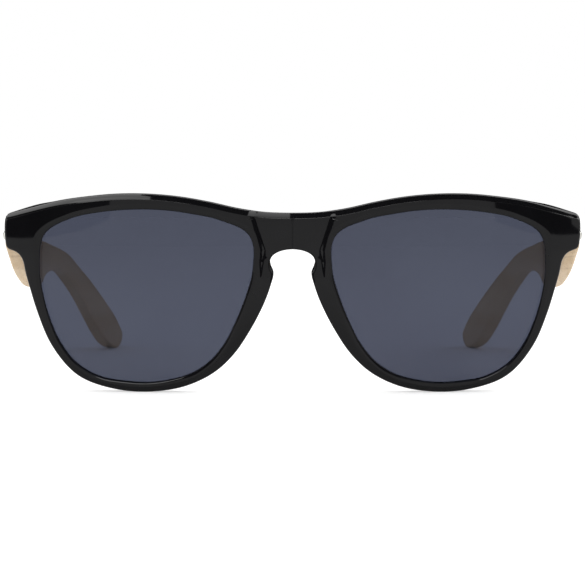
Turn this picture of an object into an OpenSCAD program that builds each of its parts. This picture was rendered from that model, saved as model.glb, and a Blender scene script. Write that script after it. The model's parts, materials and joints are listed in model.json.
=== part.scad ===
// Sunglasses: a glossy moulded front with a keyhole bridge, tinted lenses and bamboo temples.
// Millimetres. +Z is up, the front looks toward -Y, the temples run toward +Y and +X is the
// wearer's left. The glasses stand at Z = 0 on the bottoms of the two rims and on the temple tips.
//
// The front is drawn flat, in plan: x is sideways, z is up, and w is the depth behind the middle
// of a lens opening. It is then leaned forward by the tilt and set on the ground.

/* [Front] */
// Width of one lens opening
lens_w = 54.1; // [51:0.1:57]
// Height of one lens opening
lens_h = 44.8; // [42:0.1:47]
// Gap between the two lens openings
bridge_w = 19.7; // [17:0.1:22]
// Width of an end piece, outside the lens opening
end_w = 9.5; // [8.5:0.1:11.5]
// Width of a rim at the bottom
rim_w = 2.35; // [2.2:0.05:3.2]
// Thickness of a rim from front to back
rim_t = 4.2; // [4:0.1:5]
// Radius of the sphere that a lens and its rim follow
base_r = 88; // [82:1:105]
// Lean of the top of the front, in degrees
tilt = 8; // [6:0.5:10]

/* [Lenses] */
// Thickness of a lens
lens_t = 1.8; // [1.6:0.1:2]
// Distance that a lens lies behind the face of its rim
lens_set = 1.35; // [1.2:0.05:1.4]

/* [Temples] */
// Reach of a temple behind the end piece
temple_l = 139.5; // [130:0.5:148]
// Thickness of a temple
temple_t = 4.1; // [3.7:0.1:4.6]
// Angle by which the ear part of a temple turns inwards
ear_turn = 12.5; // [8:0.5:14]

/* [Hinges] */
// Height of the hinge barrel
barrel_h = 5.4; // [5:0.1:6]
// Diameter of the hinge barrel
barrel_d = 2.8; // [2.6:0.1:3]
// Diameter of the screw's shank
pin_d = 1.3; // [1.2:0.05:1.4]
// Length of the leaf on the temple
leaf_l = 12.5; // [12.5:0.5:16]
// Diameter of a rivet's domed head
rivet_d = 2.8; // [2.5:0.1:3]

/* [Hidden] */
$fn = 48;
LEFT = 1;
RIGHT = -1;

// Clearances
pin_gap = 0.05;     // between the screw and its bores, all round
knuckle_gap = 0.08; // between neighbouring knuckles
seat_gap = 0.1;     // between a lens and the faces of its groove
butt_gap = 0.2;     // between a temple and its end piece
sink_gap = 0.05;    // round a part that is let into another

// Lens opening: distance from its middle to its edge, every 15 degrees from the temple side
// over the top, drawn for the first size and stretched to the size that is asked for
drawn_w = 54.1;
drawn_h = 44.8;
opening_r = [26.4, 28.1, 29.8, 27.1, 24.3, 22.7, 22.2, 22.7, 24.2, 27.1, 30.2, 27.9,
             25.1, 23.5, 23.1, 23.1, 23.0, 22.6, 22.7, 23.3, 24.8, 25.7, 25.6, 25.6];
opening_step = 360 / len(opening_r);
opening_in = bridge_w / 2;
opening_out = bridge_w / 2 + lens_w;
opening_top = rim_w + lens_h;
eye = [opening_in + lens_w / 2, rim_w + lens_h / 2];

// Face of the front: a sphere on each side, turned back by the wrap, and a flat bridge between
wrap = 4.5;
ball = [eye.x - base_r * sin(wrap), eye.y];
ball_w = base_r * cos(wrap);
crease_lean = 0.3;

// Keyhole bridge
key_half = bridge_w * 0.29;
key_rise = 3;
key_fall = 5.2;
key_side_z = opening_top - 13.8;
key_arch_z = key_side_z + key_rise;
key_turn = 37;
key_steps = 12;
bridge_top_z = opening_top - 2.05;
crease_x = key_half + 0.7;
key_lift = 5;
key_spread = 1.2 * key_half;
end_lift = 1.5;
end_run = 6;

// Section of the rim
edge_r = 0.9;
bevel_w = 1.15;
bevel_d = 0.9;
bevel_swing = 0.25; // more where the bevel is widest, less on the opposite side of the opening
bevel_wide = 135;   // where that is, as an angle from the temple side over the top
lip_w = 1.4;
lip_d = 0.2;
groove_d = 1.1;
groove_in = lens_set - seat_gap;
groove_out = lens_set + lens_t + seat_gap;
station_gap = 2.2;
bridge_stations = 3;

// Nose pads, moulded on the back of the rims
pad_d = 4.4;
pad_splay = 1.7;
pad_mid = 199;
pad_reach = 25;

// Back of the end pieces, where the temples butt
butt_y = 11;
half_w = opening_out + end_w;
block_in = half_w - 13.5;
block_low = opening_top - 21;
block_run = 8;
block_rise = 7;

// Stations on the outline of one half, worked out below
outline = half_outline();
top_station = len(outline) - 1;
plan = concat(outline, bridge_line());
stations = len(plan);
rings = [for (i = [0:stations - 1]) ring(i)];
ring_n = len(rings[0]);
low_z = min([for (r = rings, p = r) leaned(p).z]);
face_y = min([for (r = rings, p = r) leaned(p).y]);

// Hinge and temple places
temple_out = half_w + 0.4;
temple_in = temple_out - temple_t;
hinge_x = temple_in - 1.7;
hinge_y = butt_y + 1.8;
hinge_z = opening_top - 7.6;
leaf_t = 1;
leaf_h = barrel_h - 1.2;
leaf_sink = 0.85;
knuckles = 5;
knuckle_h = (barrel_h - (knuckles - 1) * knuckle_gap) / knuckles;
flange_h = barrel_h;
flange_t = 0.8;
flange_in = 2.6;
foot_w = 3.6;
foot_h = 3.8;
foot_d = 3;
head_d = 2.1;
head_h = 0.5;
slot_w = 0.4;
slot_d = 0.25;
rivet_shank_d = 1.3;
rivet_rise = 1.2;
rivet_foot_d = 2;
rivet_foot_h = 0.35;
rivet_ys = [butt_y + 4.3, butt_y + 10.2];

// Side of a temple: pairs of points on its upper and lower edges, [behind the butt, height],
// drawn for the first size and stretched to the size that is asked for
drawn_l = 139.5;
drawn_top = 45;
temple_top = opening_top - 2.15;
temple_pairs = [
    [[-9, 46.8], [-5, 40]],
    [[0, 45], [0, 36.4]],
    [[8, 43.4], [5.5, 33.5]],
    [[18, 41.3], [13, 30]],
    [[29, 39.4], [23, 26.9]],
    [[40, 38], [34, 24.8]],
    [[49, 37.1], [43, 24.6]],
    [[57, 36.4], [51, 26.6]],
    [[66, 35.3], [61, 27.7]],
    [[76, 34], [72, 27.7]],
    [[86, 31.9], [81, 26.6]],
    [[95, 28.3], [89, 23.4]],
    [[105, 23.9], [98, 18.6]],
    [[115, 19], [107, 12.4]],
    [[124, 14.3], [116, 6.2]],
    [[131, 10.3], [123, 2.3]],
    [[136, 6.6], [128.5, 0.6]],
    [[138.3, 4.4], [132.5, 0]],
    [[139.3, 2.7], [135.8, 0]],
    [[139.5, 1.5], [137.9, 0.2]],
    [[139.2, 0.8], [138.6, 0.4]]
];
temple_gap = 3.4;
temple_r = 1.2;
corner_steps = 3;
bend_start = 48;
bend_l = 50;

// Whole object, centred front to back
tip_y = butt_y + temple_l;
mid_y = (face_y + tip_y) / 2;

// Smooth curves

// Point at fraction t between b and c, on the curve through a, b, c and d
function curve_point(a, b, c, d, t) =
    let (
        e = norm(b - a),
        f = norm(c - b),
        g = norm(d - c),
        leave = f * ((b - a) / e - (c - a) / (e + f) + (c - b) / f),
        arrive = f * ((c - b) / f - (d - b) / (f + g) + (d - c) / g)
    )
    b * (2 * t ^ 3 - 3 * t ^ 2 + 1) + leave * (t ^ 3 - 2 * t ^ 2 + t)
    + c * (3 * t ^ 2 - 2 * t ^ 3) + arrive * (t ^ 3 - t ^ 2);

// Stations on the curve through all points but the first and last, which only steer its ends
function curve(points, gap) = [
    for (i = [1:len(points) - 3])
        let (steps = max(1, round(norm(points[i + 1] - points[i]) / gap)))
            for (k = [0:steps - 1])
                curve_point(points[i - 1], points[i], points[i + 1], points[i + 2], k / steps),
    points[len(points) - 2]
];

function unit(v) = v / norm(v);
function mix(a, b, t) = a + (b - a) * t;
function clamp(v, low, high) = max(low, min(high, v));
// Rises from 0 to 1 as t does, flat at both ends
function ease(t) = let (s = clamp(t, 0, 1)) s * s * (3 - 2 * s);
function from_index(list, first) = [for (i = [first:len(list) - 1]) list[i]];

// Outlines of the front

// Distance from the middle of the opening to its edge, for the drawn size
function drawn_r(angle) =
    let (
        n = len(opening_r),
        at = (angle + 360) / opening_step,
        i = floor(at),
        t = at - i,
        a = opening_r[(i - 1) % n],
        b = opening_r[i % n],
        c = opening_r[(i + 1) % n],
        d = opening_r[(i + 2) % n]
    )
    b + 0.5 * t * (c - a + t * (2 * a - 5 * b + 4 * c - d + t * (3 * b - a - 3 * c + d)));

// Point that lies extra millimetres outside the edge of the opening
function rim_point(angle, extra) =
    let (
        r = drawn_r(angle),
        edge = [r * cos(angle) * lens_w / drawn_w, r * sin(angle) * lens_h / drawn_h]
    )
    eye + edge + unit(edge) * extra;

// Point on the edge of the opening that faces p, moved extra millimetres outwards
function opening_point(p, extra) =
    let (q = [(p.x - eye.x) * drawn_w / lens_w, (p.y - eye.y) * drawn_h / lens_h])
    rim_point(atan2(q.y, q.x), extra);

// Where a station looks for its place on the opening. The lift spreads the sections that
// would else cross each other over the keyhole and under the end piece.
function aim(p) =
    let (
        middle = clamp(1 - p.x / key_spread, 0, 1),
        under = clamp((bridge_top_z - p.y) / (bridge_top_z - key_arch_z), 0, 1),
        end = ease((p.x - half_w + end_run) / end_run)
    )
    [p.x, p.y + key_lift * middle * under + end_lift * end];

function keyhole() = [
    for (i = [0:key_steps])
        let (turn = 90 - i * (90 + key_turn) / key_steps)
            [key_half * cos(turn), key_side_z + (turn > 0 ? key_rise : key_fall) * sin(turn)]
];

// From the notch under the keyhole, round the bottom and up to the end piece
function lower_outline(notch) = curve([
    notch + [-1, 3],
    notch,
    rim_point(181, rim_w + 3.05),
    rim_point(189, rim_w + 2.55),
    rim_point(200, rim_w + 1.9),
    rim_point(212, rim_w + 1.35),
    rim_point(227, rim_w + 0.75),
    rim_point(245, rim_w + 0.2),
    rim_point(266, rim_w),
    rim_point(288, rim_w - 0.05),
    rim_point(310, rim_w - 0.05),
    rim_point(331, rim_w + 0.05),
    rim_point(349, rim_w + 0.3),
    rim_point(2, rim_w + 0.9),
    [half_w - 5.4, opening_top - 16.4],
    [half_w - 5.1, opening_top - 14.7],
    [half_w - 4, opening_top - 12.9],
    [half_w - 0.5, opening_top - 11.75],
    [half_w + 2, opening_top - 11.2]
], station_gap);

function end_side() = curve([
    [half_w - 1, opening_top - 14],
    [half_w - 0.5, opening_top - 11.75],
    [half_w, opening_top - 8],
    [half_w - 0.1, opening_top - 3.6],
    [half_w - 0.5, opening_top]
], station_gap);

// From the end piece over the brow to the middle of the bridge
function upper_outline() = curve([
    [half_w + 4, opening_top - 4.8],
    [half_w - 0.1, opening_top - 3.6],
    [half_w - 6, opening_top - 1.75],
    rim_point(47, rim_w + 2.6),
    rim_point(58, rim_w + 1.7),
    rim_point(73, rim_w + 1.15),
    rim_point(92, rim_w + 0.8),
    rim_point(109, rim_w + 0.8),
    rim_point(124, rim_w + 1.05),
    rim_point(138, rim_w + 2),
    [opening_in * 0.96, opening_top - 1.55],
    [0, bridge_top_z],
    [-opening_in * 0.96, opening_top - 1.55]
], station_gap);

function half_outline() =
    let (key = keyhole())
    concat(
        key,
        from_index(lower_outline(key[key_steps]), 1),
        from_index(end_side(), 1),
        from_index(upper_outline(), 1)
    );

// Down the middle of the bridge, back to the top of the keyhole
function bridge_line() = [
    for (i = [1:bridge_stations])
        [0, mix(bridge_top_z - edge_r, key_arch_z + edge_r, i / (bridge_stations + 1))]
];

// Depths of the front

function sphere_w(p, r) = ball_w - sqrt(r ^ 2 - (p.x - ball.x) ^ 2 - (p.y - ball.y) ^ 2);
// The bridge is flat from side to side, between creases that spread towards the brow
function crease_at(z) = crease_x + crease_lean * (z - key_arch_z);
function outside_crease(p) = [max(p.x, crease_at(p.y)), p.y];
function face_w(p) = sphere_w(outside_crease(p), base_r);
function butt_w(p) = (butt_y + p.y * sin(tilt)) / cos(tilt);

// How far a station belongs to the end piece, and to the nose pad
function block_part(p) = ease((p.x - block_in) / block_run) * ease((p.y - block_low) / block_rise);
function pad_part(p) =
    let (angle = (atan2(p.y - eye.y, p.x - eye.x) + 360) % 360)
    ease(1 - abs(angle - pad_mid) / pad_reach);

function back_w(p, block, pad) =
    mix(sphere_w(outside_crease(p), base_r - rim_t), butt_w(p), block) + pad * pad_d;

// Sections of the front

// Outline point moved into the rim by d, square to the outline
function inset(i, d) =
    i == 0 ? [0, key_arch_z + d]
    : i == top_station ? [0, bridge_top_z - d]
    : i > top_station ? plan[i]
    : let (
        before = unit(plan[i] - plan[i - 1]),
        after = unit(plan[i + 1] - plan[i]),
        first = [-before.y, before.x],
        both = unit(first + [-after.y, after.x])
    )
    plan[i] + both * d / max(0.6, both * first);

function bevel_at(p) = bevel_w + bevel_swing * cos(atan2(p.y - eye.y, p.x - eye.x) - bevel_wide);

// Fraction of the way from a to b at which the section meets the crease of the bridge
function crease_part(a, b) =
    let (
        run = b - a,
        meet = (crease_at(a.y) - a.x) / (run.x - crease_lean * run.y)
    )
    b.x < crease_at(b.y) ? clamp(meet, 0.15, 0.85) : 0.5;

function at_depth(p, w) = [p.x, w, p.y];

// Closed section at one station: bevel, face, rounded edge, outer wall, back and lens groove
function ring(i) =
    let (
        o = plan[i],
        a = opening_point(aim(o), 0),
        g = opening_point(aim(o), groove_d),
        in = inset(i, edge_r),
        way = unit(in - a),
        b = a + way * min(bevel_at(a), 0.5 * norm(in - a)),
        m = mix(b, in, crease_part(b, in)),
        round_p = mix(in, o, sin(45)),
        block = block_part(o),
        pad = pad_part(o),
        splay = [pad_splay * pad, 0],
        ob = o + splay,
        ib = in + splay,
        c = a + way * min(lip_w, 0.3 * norm(in - a)),
        bm = mix(c, ib, crease_part(c, ib)),
        back_a = sphere_w(a, base_r - rim_t)
    )
    [
        at_depth(a, face_w(a) + bevel_d),
        at_depth(b, face_w(b)),
        at_depth(m, face_w(m)),
        at_depth(mix(m, in, 0.5), face_w(mix(m, in, 0.5))),
        at_depth(in, face_w(in)),
        at_depth(round_p, face_w(round_p) + edge_r * (1 - sin(45))),
        at_depth(o, face_w(o) + edge_r),
        at_depth(ob, back_w(ob, block, pad) - edge_r / 2),
        at_depth(ib, back_w(ib, block, pad)),
        at_depth(bm, back_w(bm, block, pad * 0.6)),
        at_depth(c, back_w(c, block, pad * 0.15)),
        at_depth(a, back_a - lip_d),
        at_depth(a, sphere_w(a, base_r - groove_out)),
        at_depth(g, sphere_w(g, base_r - groove_out)),
        at_depth(g, sphere_w(g, base_r - groove_in)),
        at_depth(a, sphere_w(a, base_r - groove_in))
    ];

function leaned(p) =
    [p.x, p.y * cos(tilt) - p.z * sin(tilt), p.y * sin(tilt) + p.z * cos(tilt)];

// Number of point k of section i on one side; points on the middle line serve both sides
function point_id(side, i, k) =
    side == RIGHT && rings[i][k].x > 0 ? (stations + i) * ring_n + k : i * ring_n + k;

// Two triangles between sections i and j, from point k to the next one
function panel(side, i, j, k) =
    let (
        n = (k + 1) % ring_n,
        quad = [point_id(side, i, k), point_id(side, j, k), point_id(side, j, n), point_id(side, i, n)]
    )
    side == LEFT
    ? [[quad[0], quad[1], quad[2]], [quad[0], quad[2], quad[3]]]
    : [[quad[2], quad[1], quad[0]], [quad[3], quad[2], quad[0]]];

// The edge and outer wall are left out where the two halves meet
edge_from = 4;
edge_to = 7;
module front_shell() {
    points = concat(
        [for (r = rings, p = r) p],
        [for (r = rings, p = r) [-p.x, p.y, p.z]]
    );
    faces = [
        for (side = [LEFT, RIGHT], i = [0:stations - 1], k = [0:ring_n - 1])
            if (i < top_station || k < edge_from || k > edge_to)
                for (face = panel(side, i, (i + 1) % stations, k)) face
    ];
    polyhedron(points, faces, convexity = 8);
}

// Places

module set_front() translate([0, -mid_y, -low_z]) rotate([tilt, 0, 0]) children();

// Something drawn for the wearer's left, on either side
module on_side(side) {
    translate([0, -mid_y, 0]) if (side == LEFT) children(); else mirror([1, 0, 0]) children();
}

module at_hinge() translate([hinge_x, hinge_y, hinge_z - barrel_h / 2]) children();

// Height of the underside of knuckle i in the barrel
function knuckle_z(i) = i * (knuckle_h + knuckle_gap);

// Parts

module front_frame() {
    color([0.03, 0.03, 0.04])
    difference() {
        set_front() front_shell();
        for (side = [LEFT, RIGHT]) on_side(side) hinge_pocket();
    }
}

// Room for the flange and foot of the front leaf, in the back of an end piece
module hinge_pocket() {
    over = 1;
    translate([hinge_x - flange_in - sink_gap, butt_y - flange_t, hinge_z - flange_h / 2 - sink_gap])
        cube([flange_in + barrel_d / 2 + 2 * sink_gap, flange_t + over, flange_h + 2 * sink_gap]);
    translate([hinge_x - foot_w / 2 - sink_gap, butt_y - flange_t - foot_d, hinge_z - foot_h / 2 - sink_gap])
        cube([foot_w + 2 * sink_gap, foot_d + over, foot_h + 2 * sink_gap]);
}

module lens(side) {
    points = [for (a = [0:3:357]) rim_point(a, groove_d - 2 * seat_gap)];
    deep = 40;
    color([0.16, 0.17, 0.2, 0.85])
    set_front()
    mirror([side == RIGHT ? 1 : 0, 0, 0])
    intersection() {
        translate([0, deep, 0]) rotate([90, 0, 0]) linear_extrude(2 * deep) polygon(points);
        translate([ball.x, ball_w, ball.y]) difference() {
            sphere(base_r - lens_set, $fn = 240);
            sphere(base_r - lens_set - lens_t, $fn = 240);
        }
    }
}

// Leaf in the end piece: foot, flange and every other knuckle, starting with the lowest
module front_hinge(side) {
    barbs = 3;
    barb_t = 0.7;
    barb_out = 0.4;
    color([0.72, 0.73, 0.75])
    on_side(side)
    difference() {
        union() {
            translate([hinge_x - flange_in, butt_y - flange_t, hinge_z - flange_h / 2])
                cube([flange_in + barrel_d / 2, flange_t, flange_h]);
            for (i = [0:barbs - 1])
                translate([
                    hinge_x - foot_w / 2,
                    butt_y - flange_t - foot_d + i * foot_d / barbs,
                    hinge_z - foot_h / 2
                ])
                cube([foot_w, barb_t, foot_h]);
            translate([hinge_x - foot_w / 2 + barb_out, butt_y - flange_t - foot_d, hinge_z - foot_h / 2])
                cube([foot_w - 2 * barb_out, foot_d + flange_t / 2, foot_h]);
            at_hinge() for (i = [0:2:knuckles - 1]) translate([0, 0, knuckle_z(i)]) {
                cylinder(d = barrel_d, h = knuckle_h);
                translate([-barrel_d / 2, butt_y - hinge_y - flange_t / 2, 0])
                    cube([barrel_d, hinge_y - butt_y + flange_t / 2, knuckle_h]);
            }
        }
        at_hinge() translate([0, 0, -1]) cylinder(d = pin_d + 2 * pin_gap, h = barrel_h + 2);
        at_hinge() translate([0, 0, barrel_h - head_h]) cylinder(d = head_d + 2 * pin_gap, h = head_h + 1);
    }
}

// Slotted screw: it is the pin of the hinge, and its head lies in the top knuckle
module hinge_screw(side) {
    color([0.62, 0.63, 0.65])
    on_side(side) at_hinge()
    difference() {
        union() {
            cylinder(d = pin_d, h = barrel_h - head_h / 2);
            translate([0, 0, barrel_h - head_h]) cylinder(d = head_d, h = head_h);
        }
        translate([-head_d, -slot_w / 2, barrel_h - slot_d]) cube([2 * head_d, slot_w, 1]);
    }
}

// How far the temple has turned in towards the head, at a distance behind the butt
function turned_in(d) =
    let (
        along = clamp(d - bend_start, 0, bend_l),
        past = max(0, d - bend_start - bend_l)
    )
    tan(ear_turn) * (along ^ 2 / (2 * bend_l) + past);

// Closed section of a temple between a point on its upper edge and one on its lower edge
function temple_ring(up, low) =
    let (
        rise = unit(up - low),
        flat = 0.05,
        r = min(temple_r, norm(up - low) / 2 - flat, temple_t / 2 - flat)
    )
    [
        for (corner = [0:3], step = [0:corner_steps])
            let (
                turn = 90 * corner + 90 * step / corner_steps,
                x = (corner == 0 || corner == 3 ? temple_t - r : r) + r * cos(turn),
                edge = corner < 2 ? up - rise * r : low + rise * r,
                at = edge + rise * r * sin(turn)
            )
            [temple_in - turned_in(at.x) + x, butt_y + at.x, max(0, at.y)]
    ];

function stretched(p) = [p.x * temple_l / drawn_l, p.y * temple_top / drawn_top];

module temple_solid() {
    pairs = [
        for (p = temple_pairs)
            concat(stretched(p[0]), stretched(p[1]))
    ];
    line = curve(pairs, temple_gap);
    cut = [for (i = [0:len(line) - 1]) i == 0 ? line[0] + [butt_gap, 0, butt_gap, 0] : line[i]];
    loops = [for (p = cut) temple_ring([p[0], p[1]], [p[2], p[3]])];
    n = len(loops[0]);
    last = len(loops) - 1;
    faces = concat(
        [[for (k = [0:n - 1]) n - 1 - k]],
        [[for (k = [0:n - 1]) last * n + k]],
        [
            for (i = [0:last - 1], k = [0:n - 1])
                let (
                    m = (k + 1) % n,
                    here = i * n,
                    next = here + n
                )
                    for (face = [[here + k, here + m, next + m], [here + k, next + m, next + k]])
                        face
        ]
    );
    polyhedron([for (l = loops, p = l) p], faces, convexity = 4);
}

// Something drawn along +Z, laid along +X at a rivet's place on the temple's outer face
module at_rivet(y) translate([temple_out, y, hinge_z]) rotate([0, 90, 0]) children();

module temple(side) {
    color([0.86, 0.76, 0.6])
    on_side(side)
    difference() {
        temple_solid();
        translate([temple_in - 1, butt_y - 1, hinge_z - leaf_h / 2 - sink_gap])
            cube([1 + leaf_sink, leaf_l + 1 + sink_gap, leaf_h + 2 * sink_gap]);
        for (y = rivet_ys)
            at_rivet(y) translate([0, 0, -temple_t - 1])
                cylinder(d = rivet_shank_d + 2 * sink_gap, h = temple_t + 2);
    }
}

// Leaf on the temple: a plate let into its inner face, and the knuckles between the front ones
module temple_hinge(side) {
    plate_x = temple_in + leaf_sink - leaf_t;
    plate_y = butt_y + butt_gap;
    color([0.72, 0.73, 0.75])
    on_side(side)
    difference() {
        union() {
            translate([plate_x, plate_y, hinge_z - leaf_h / 2])
                cube([leaf_t, leaf_l - butt_gap, leaf_h]);
            at_hinge() for (i = [1:2:knuckles - 1]) translate([0, 0, knuckle_z(i)]) {
                cylinder(d = barrel_d, h = knuckle_h);
                translate([0, -barrel_d / 2, 0])
                    cube([plate_x + leaf_t / 2 - hinge_x, barrel_d, knuckle_h]);
            }
        }
        at_hinge() translate([0, 0, -1]) cylinder(d = pin_d + 2 * pin_gap, h = barrel_h + 2);
        for (y = rivet_ys)
            at_rivet(y) translate([0, 0, -temple_t - 1])
                cylinder(d = rivet_shank_d + 2 * sink_gap, h = temple_t + 2);
    }
}

// Rivet with a domed head outside and a flat foot on the leaf
module rivet(side, y) {
    a = rivet_d / 2;
    ball_r = (a ^ 2 + rivet_rise ^ 2) / (2 * rivet_rise);
    inner = temple_t - leaf_sink + leaf_t;
    color([0.8, 0.8, 0.82])
    on_side(side) at_rivet(y) {
        intersection() {
            translate([0, 0, rivet_rise - ball_r]) sphere(ball_r);
            cylinder(r = a + 1, h = rivet_rise + 1);
        }
        translate([0, 0, -inner - rivet_foot_h / 2]) cylinder(d = rivet_shank_d, h = inner + rivet_foot_h);
        translate([0, 0, -inner - rivet_foot_h]) cylinder(d = rivet_foot_d, h = rivet_foot_h);
    }
}

front_frame();
lens(LEFT);  // lens_left
lens(RIGHT);  // lens_right
front_hinge(LEFT);  // front_hinge_left
front_hinge(RIGHT);  // front_hinge_right
hinge_screw(LEFT);  // hinge_screw_left
hinge_screw(RIGHT);  // hinge_screw_right
temple(LEFT);  // temple_left
temple(RIGHT);  // temple_right
temple_hinge(LEFT);  // temple_hinge_left
temple_hinge(RIGHT);  // temple_hinge_right
rivet(LEFT, rivet_ys[0]);  // rivet_front_left
rivet(RIGHT, rivet_ys[0]);  // rivet_front_right
rivet(LEFT, rivet_ys[1]);  // rivet_rear_left
rivet(RIGHT, rivet_ys[1]);  // rivet_rear_right
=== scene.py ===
"""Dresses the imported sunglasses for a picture, and for a look from any side.

The front, lenses, temples and hinge parts are modelled again with fine, rounded meshes in the
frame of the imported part, and every piece gets a finish of its own. Shapes are worked out in
millimetres and written to the meshes in metres.
"""

from __future__ import annotations

import json
import logging
import math
from dataclasses import dataclass, field
from enum import Enum
from typing import Callable, Sequence

import bmesh
import bpy
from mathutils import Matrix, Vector

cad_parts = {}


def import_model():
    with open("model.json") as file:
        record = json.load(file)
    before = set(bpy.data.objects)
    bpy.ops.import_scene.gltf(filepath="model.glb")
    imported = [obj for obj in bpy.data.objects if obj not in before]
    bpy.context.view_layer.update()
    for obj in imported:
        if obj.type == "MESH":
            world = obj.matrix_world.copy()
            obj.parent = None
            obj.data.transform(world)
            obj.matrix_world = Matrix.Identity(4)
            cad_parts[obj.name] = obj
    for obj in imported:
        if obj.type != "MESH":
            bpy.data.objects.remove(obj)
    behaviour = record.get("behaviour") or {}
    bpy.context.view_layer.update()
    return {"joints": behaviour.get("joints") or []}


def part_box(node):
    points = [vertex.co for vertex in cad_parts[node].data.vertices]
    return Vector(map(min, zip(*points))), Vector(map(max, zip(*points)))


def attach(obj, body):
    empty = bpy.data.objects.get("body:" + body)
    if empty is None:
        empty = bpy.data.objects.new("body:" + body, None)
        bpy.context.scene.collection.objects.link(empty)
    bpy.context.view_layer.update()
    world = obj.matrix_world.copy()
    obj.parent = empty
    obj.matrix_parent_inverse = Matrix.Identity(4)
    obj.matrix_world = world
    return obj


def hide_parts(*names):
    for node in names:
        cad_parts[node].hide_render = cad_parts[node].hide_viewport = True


LOG = logging.getLogger("sunglasses")
MM = 0.001

Line = list[Vector]
Pair = tuple[float, float]
Range = tuple[float, float]
Place = tuple[float, float, float]
Scale = tuple[float, float, float]
Colour = tuple[float, float, float]
Socket = bpy.types.NodeSocket

WHOLE: Range = (0.0, 1.0)
WHITE = (1.0, 1.0, 1.0, 1.0)


class Side(Enum):
    """The two sides of the glasses, from the wearer's seat."""

    LEFT = 1
    RIGHT = -1

    @property
    def word(self) -> str:
        """The side's name in a node's name."""
        return self.name.lower()

    @property
    def temple_body(self) -> str:
        """The moving body on this side."""
        return f"{self.word}_temple"


class Ends(Enum):
    """What closes the two ends of a lofted piece."""

    FILLED = "filled"
    WRAPPED = "wrapped"


# Curves


def mix(a: float, b: float, t: float) -> float:
    """The value at fraction t of the way from a to b."""
    return a + (b - a) * t


def clamp(value: float, low: float = 0.0, high: float = 1.0) -> float:
    """The value, held between low and high."""
    return max(low, min(high, value))


def ease(t: float) -> float:
    """Rises from 0 to 1 as t does, flat at both ends."""
    s = clamp(t)
    return s * s * (3 - 2 * s)


def curve_point(a: Vector, b: Vector, c: Vector, d: Vector, t: float) -> Vector:
    """A point between b and c on the smooth curve through four points.

    Args:
        a: The point before the stretch.
        b: The start of the stretch.
        c: The end of the stretch.
        d: The point after the stretch.
        t: The fraction of the stretch.

    Returns:
        The point on the curve.
    """
    e = (b - a).length
    f = (c - b).length
    g = (d - c).length
    leave = f * ((b - a) / e - (c - a) / (e + f) + (c - b) / f)
    arrive = f * ((c - b) / f - (d - b) / (f + g) + (d - c) / g)
    return (
        b * (2 * t**3 - 3 * t**2 + 1)
        + leave * (t**3 - 2 * t**2 + t)
        + c * (3 * t**2 - 2 * t**3)
        + arrive * (t**3 - t**2)
    )


def smooth_line(points: Sequence[Vector], gap: float) -> Line:
    """Points on the curve through all but the first and last, which only steer its ends.

    Args:
        points: The points to pass, with one steering point at each end.
        gap: The distance between the points that are given back.

    Returns:
        The points on the curve, from the second given point to the last but one.
    """
    line: Line = []
    for i in range(1, len(points) - 2):
        steps = max(1, round((points[i + 1] - points[i]).length / gap))
        for k in range(steps):
            line.append(curve_point(points[i - 1], points[i], points[i + 1], points[i + 2], k / steps))
    line.append(points[-2].copy())
    return line


def even_line(line: Line, gap: float) -> Line:
    """The same line with its points spaced evenly.

    Args:
        line: The points of the line.
        gap: The wanted distance between points.

    Returns:
        The evenly spaced points, ends included.
    """
    lengths = [(b - a).length for a, b in zip(line, line[1:])]
    total = sum(lengths)
    count = max(2, round(total / gap))
    out = [line[0].copy()]
    at = 0
    passed = 0.0
    for k in range(1, count):
        want = total * k / count
        while passed + lengths[at] < want:
            passed += lengths[at]
            at += 1
        out.append(line[at].lerp(line[at + 1], (want - passed) / lengths[at]))
    out.append(line[-1].copy())
    return out


def relaxed(line: Line, rounds: int) -> Line:
    """The same line with its corners eased by averaging neighbours, ends kept.

    Args:
        line: The points of the line.
        rounds: How many times to average.

    Returns:
        The eased points.
    """
    for _ in range(rounds):
        line = (
            [line[0]]
            + [(a + 2 * b + c) / 4 for a, b, c in zip(line, line[1:], line[2:])]
            + [line[-1]]
        )
    return line


def rounded(before: Vector, corner: Vector, after: Vector, radius: float, steps: int) -> Line:
    """Points that round a corner.

    Args:
        before: A point on the line before the corner.
        corner: The corner.
        after: A point on the line after the corner.
        radius: The distance from the corner at which the rounding starts and ends.
        steps: The number of points.

    Returns:
        The points of the rounding, in order.
    """
    most = 0.45
    tiny = 1e-6
    start = corner.lerp(before, min(most, radius / max(tiny, (before - corner).length)))
    end = corner.lerp(after, min(most, radius / max(tiny, (after - corner).length)))
    out = []
    for k in range(steps):
        t = k / (steps - 1)
        out.append(start * (1 - t) ** 2 + corner * 2 * t * (1 - t) + end * t**2)
    return out


def quarter_turn(steps: int) -> list[float]:
    """Angles in radians from 0 to a right angle, in equal steps."""
    return [math.radians(90 * step / steps) for step in range(steps + 1)]


# Work at the bench: each tool acts on what is selected, as it would by hand


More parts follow.
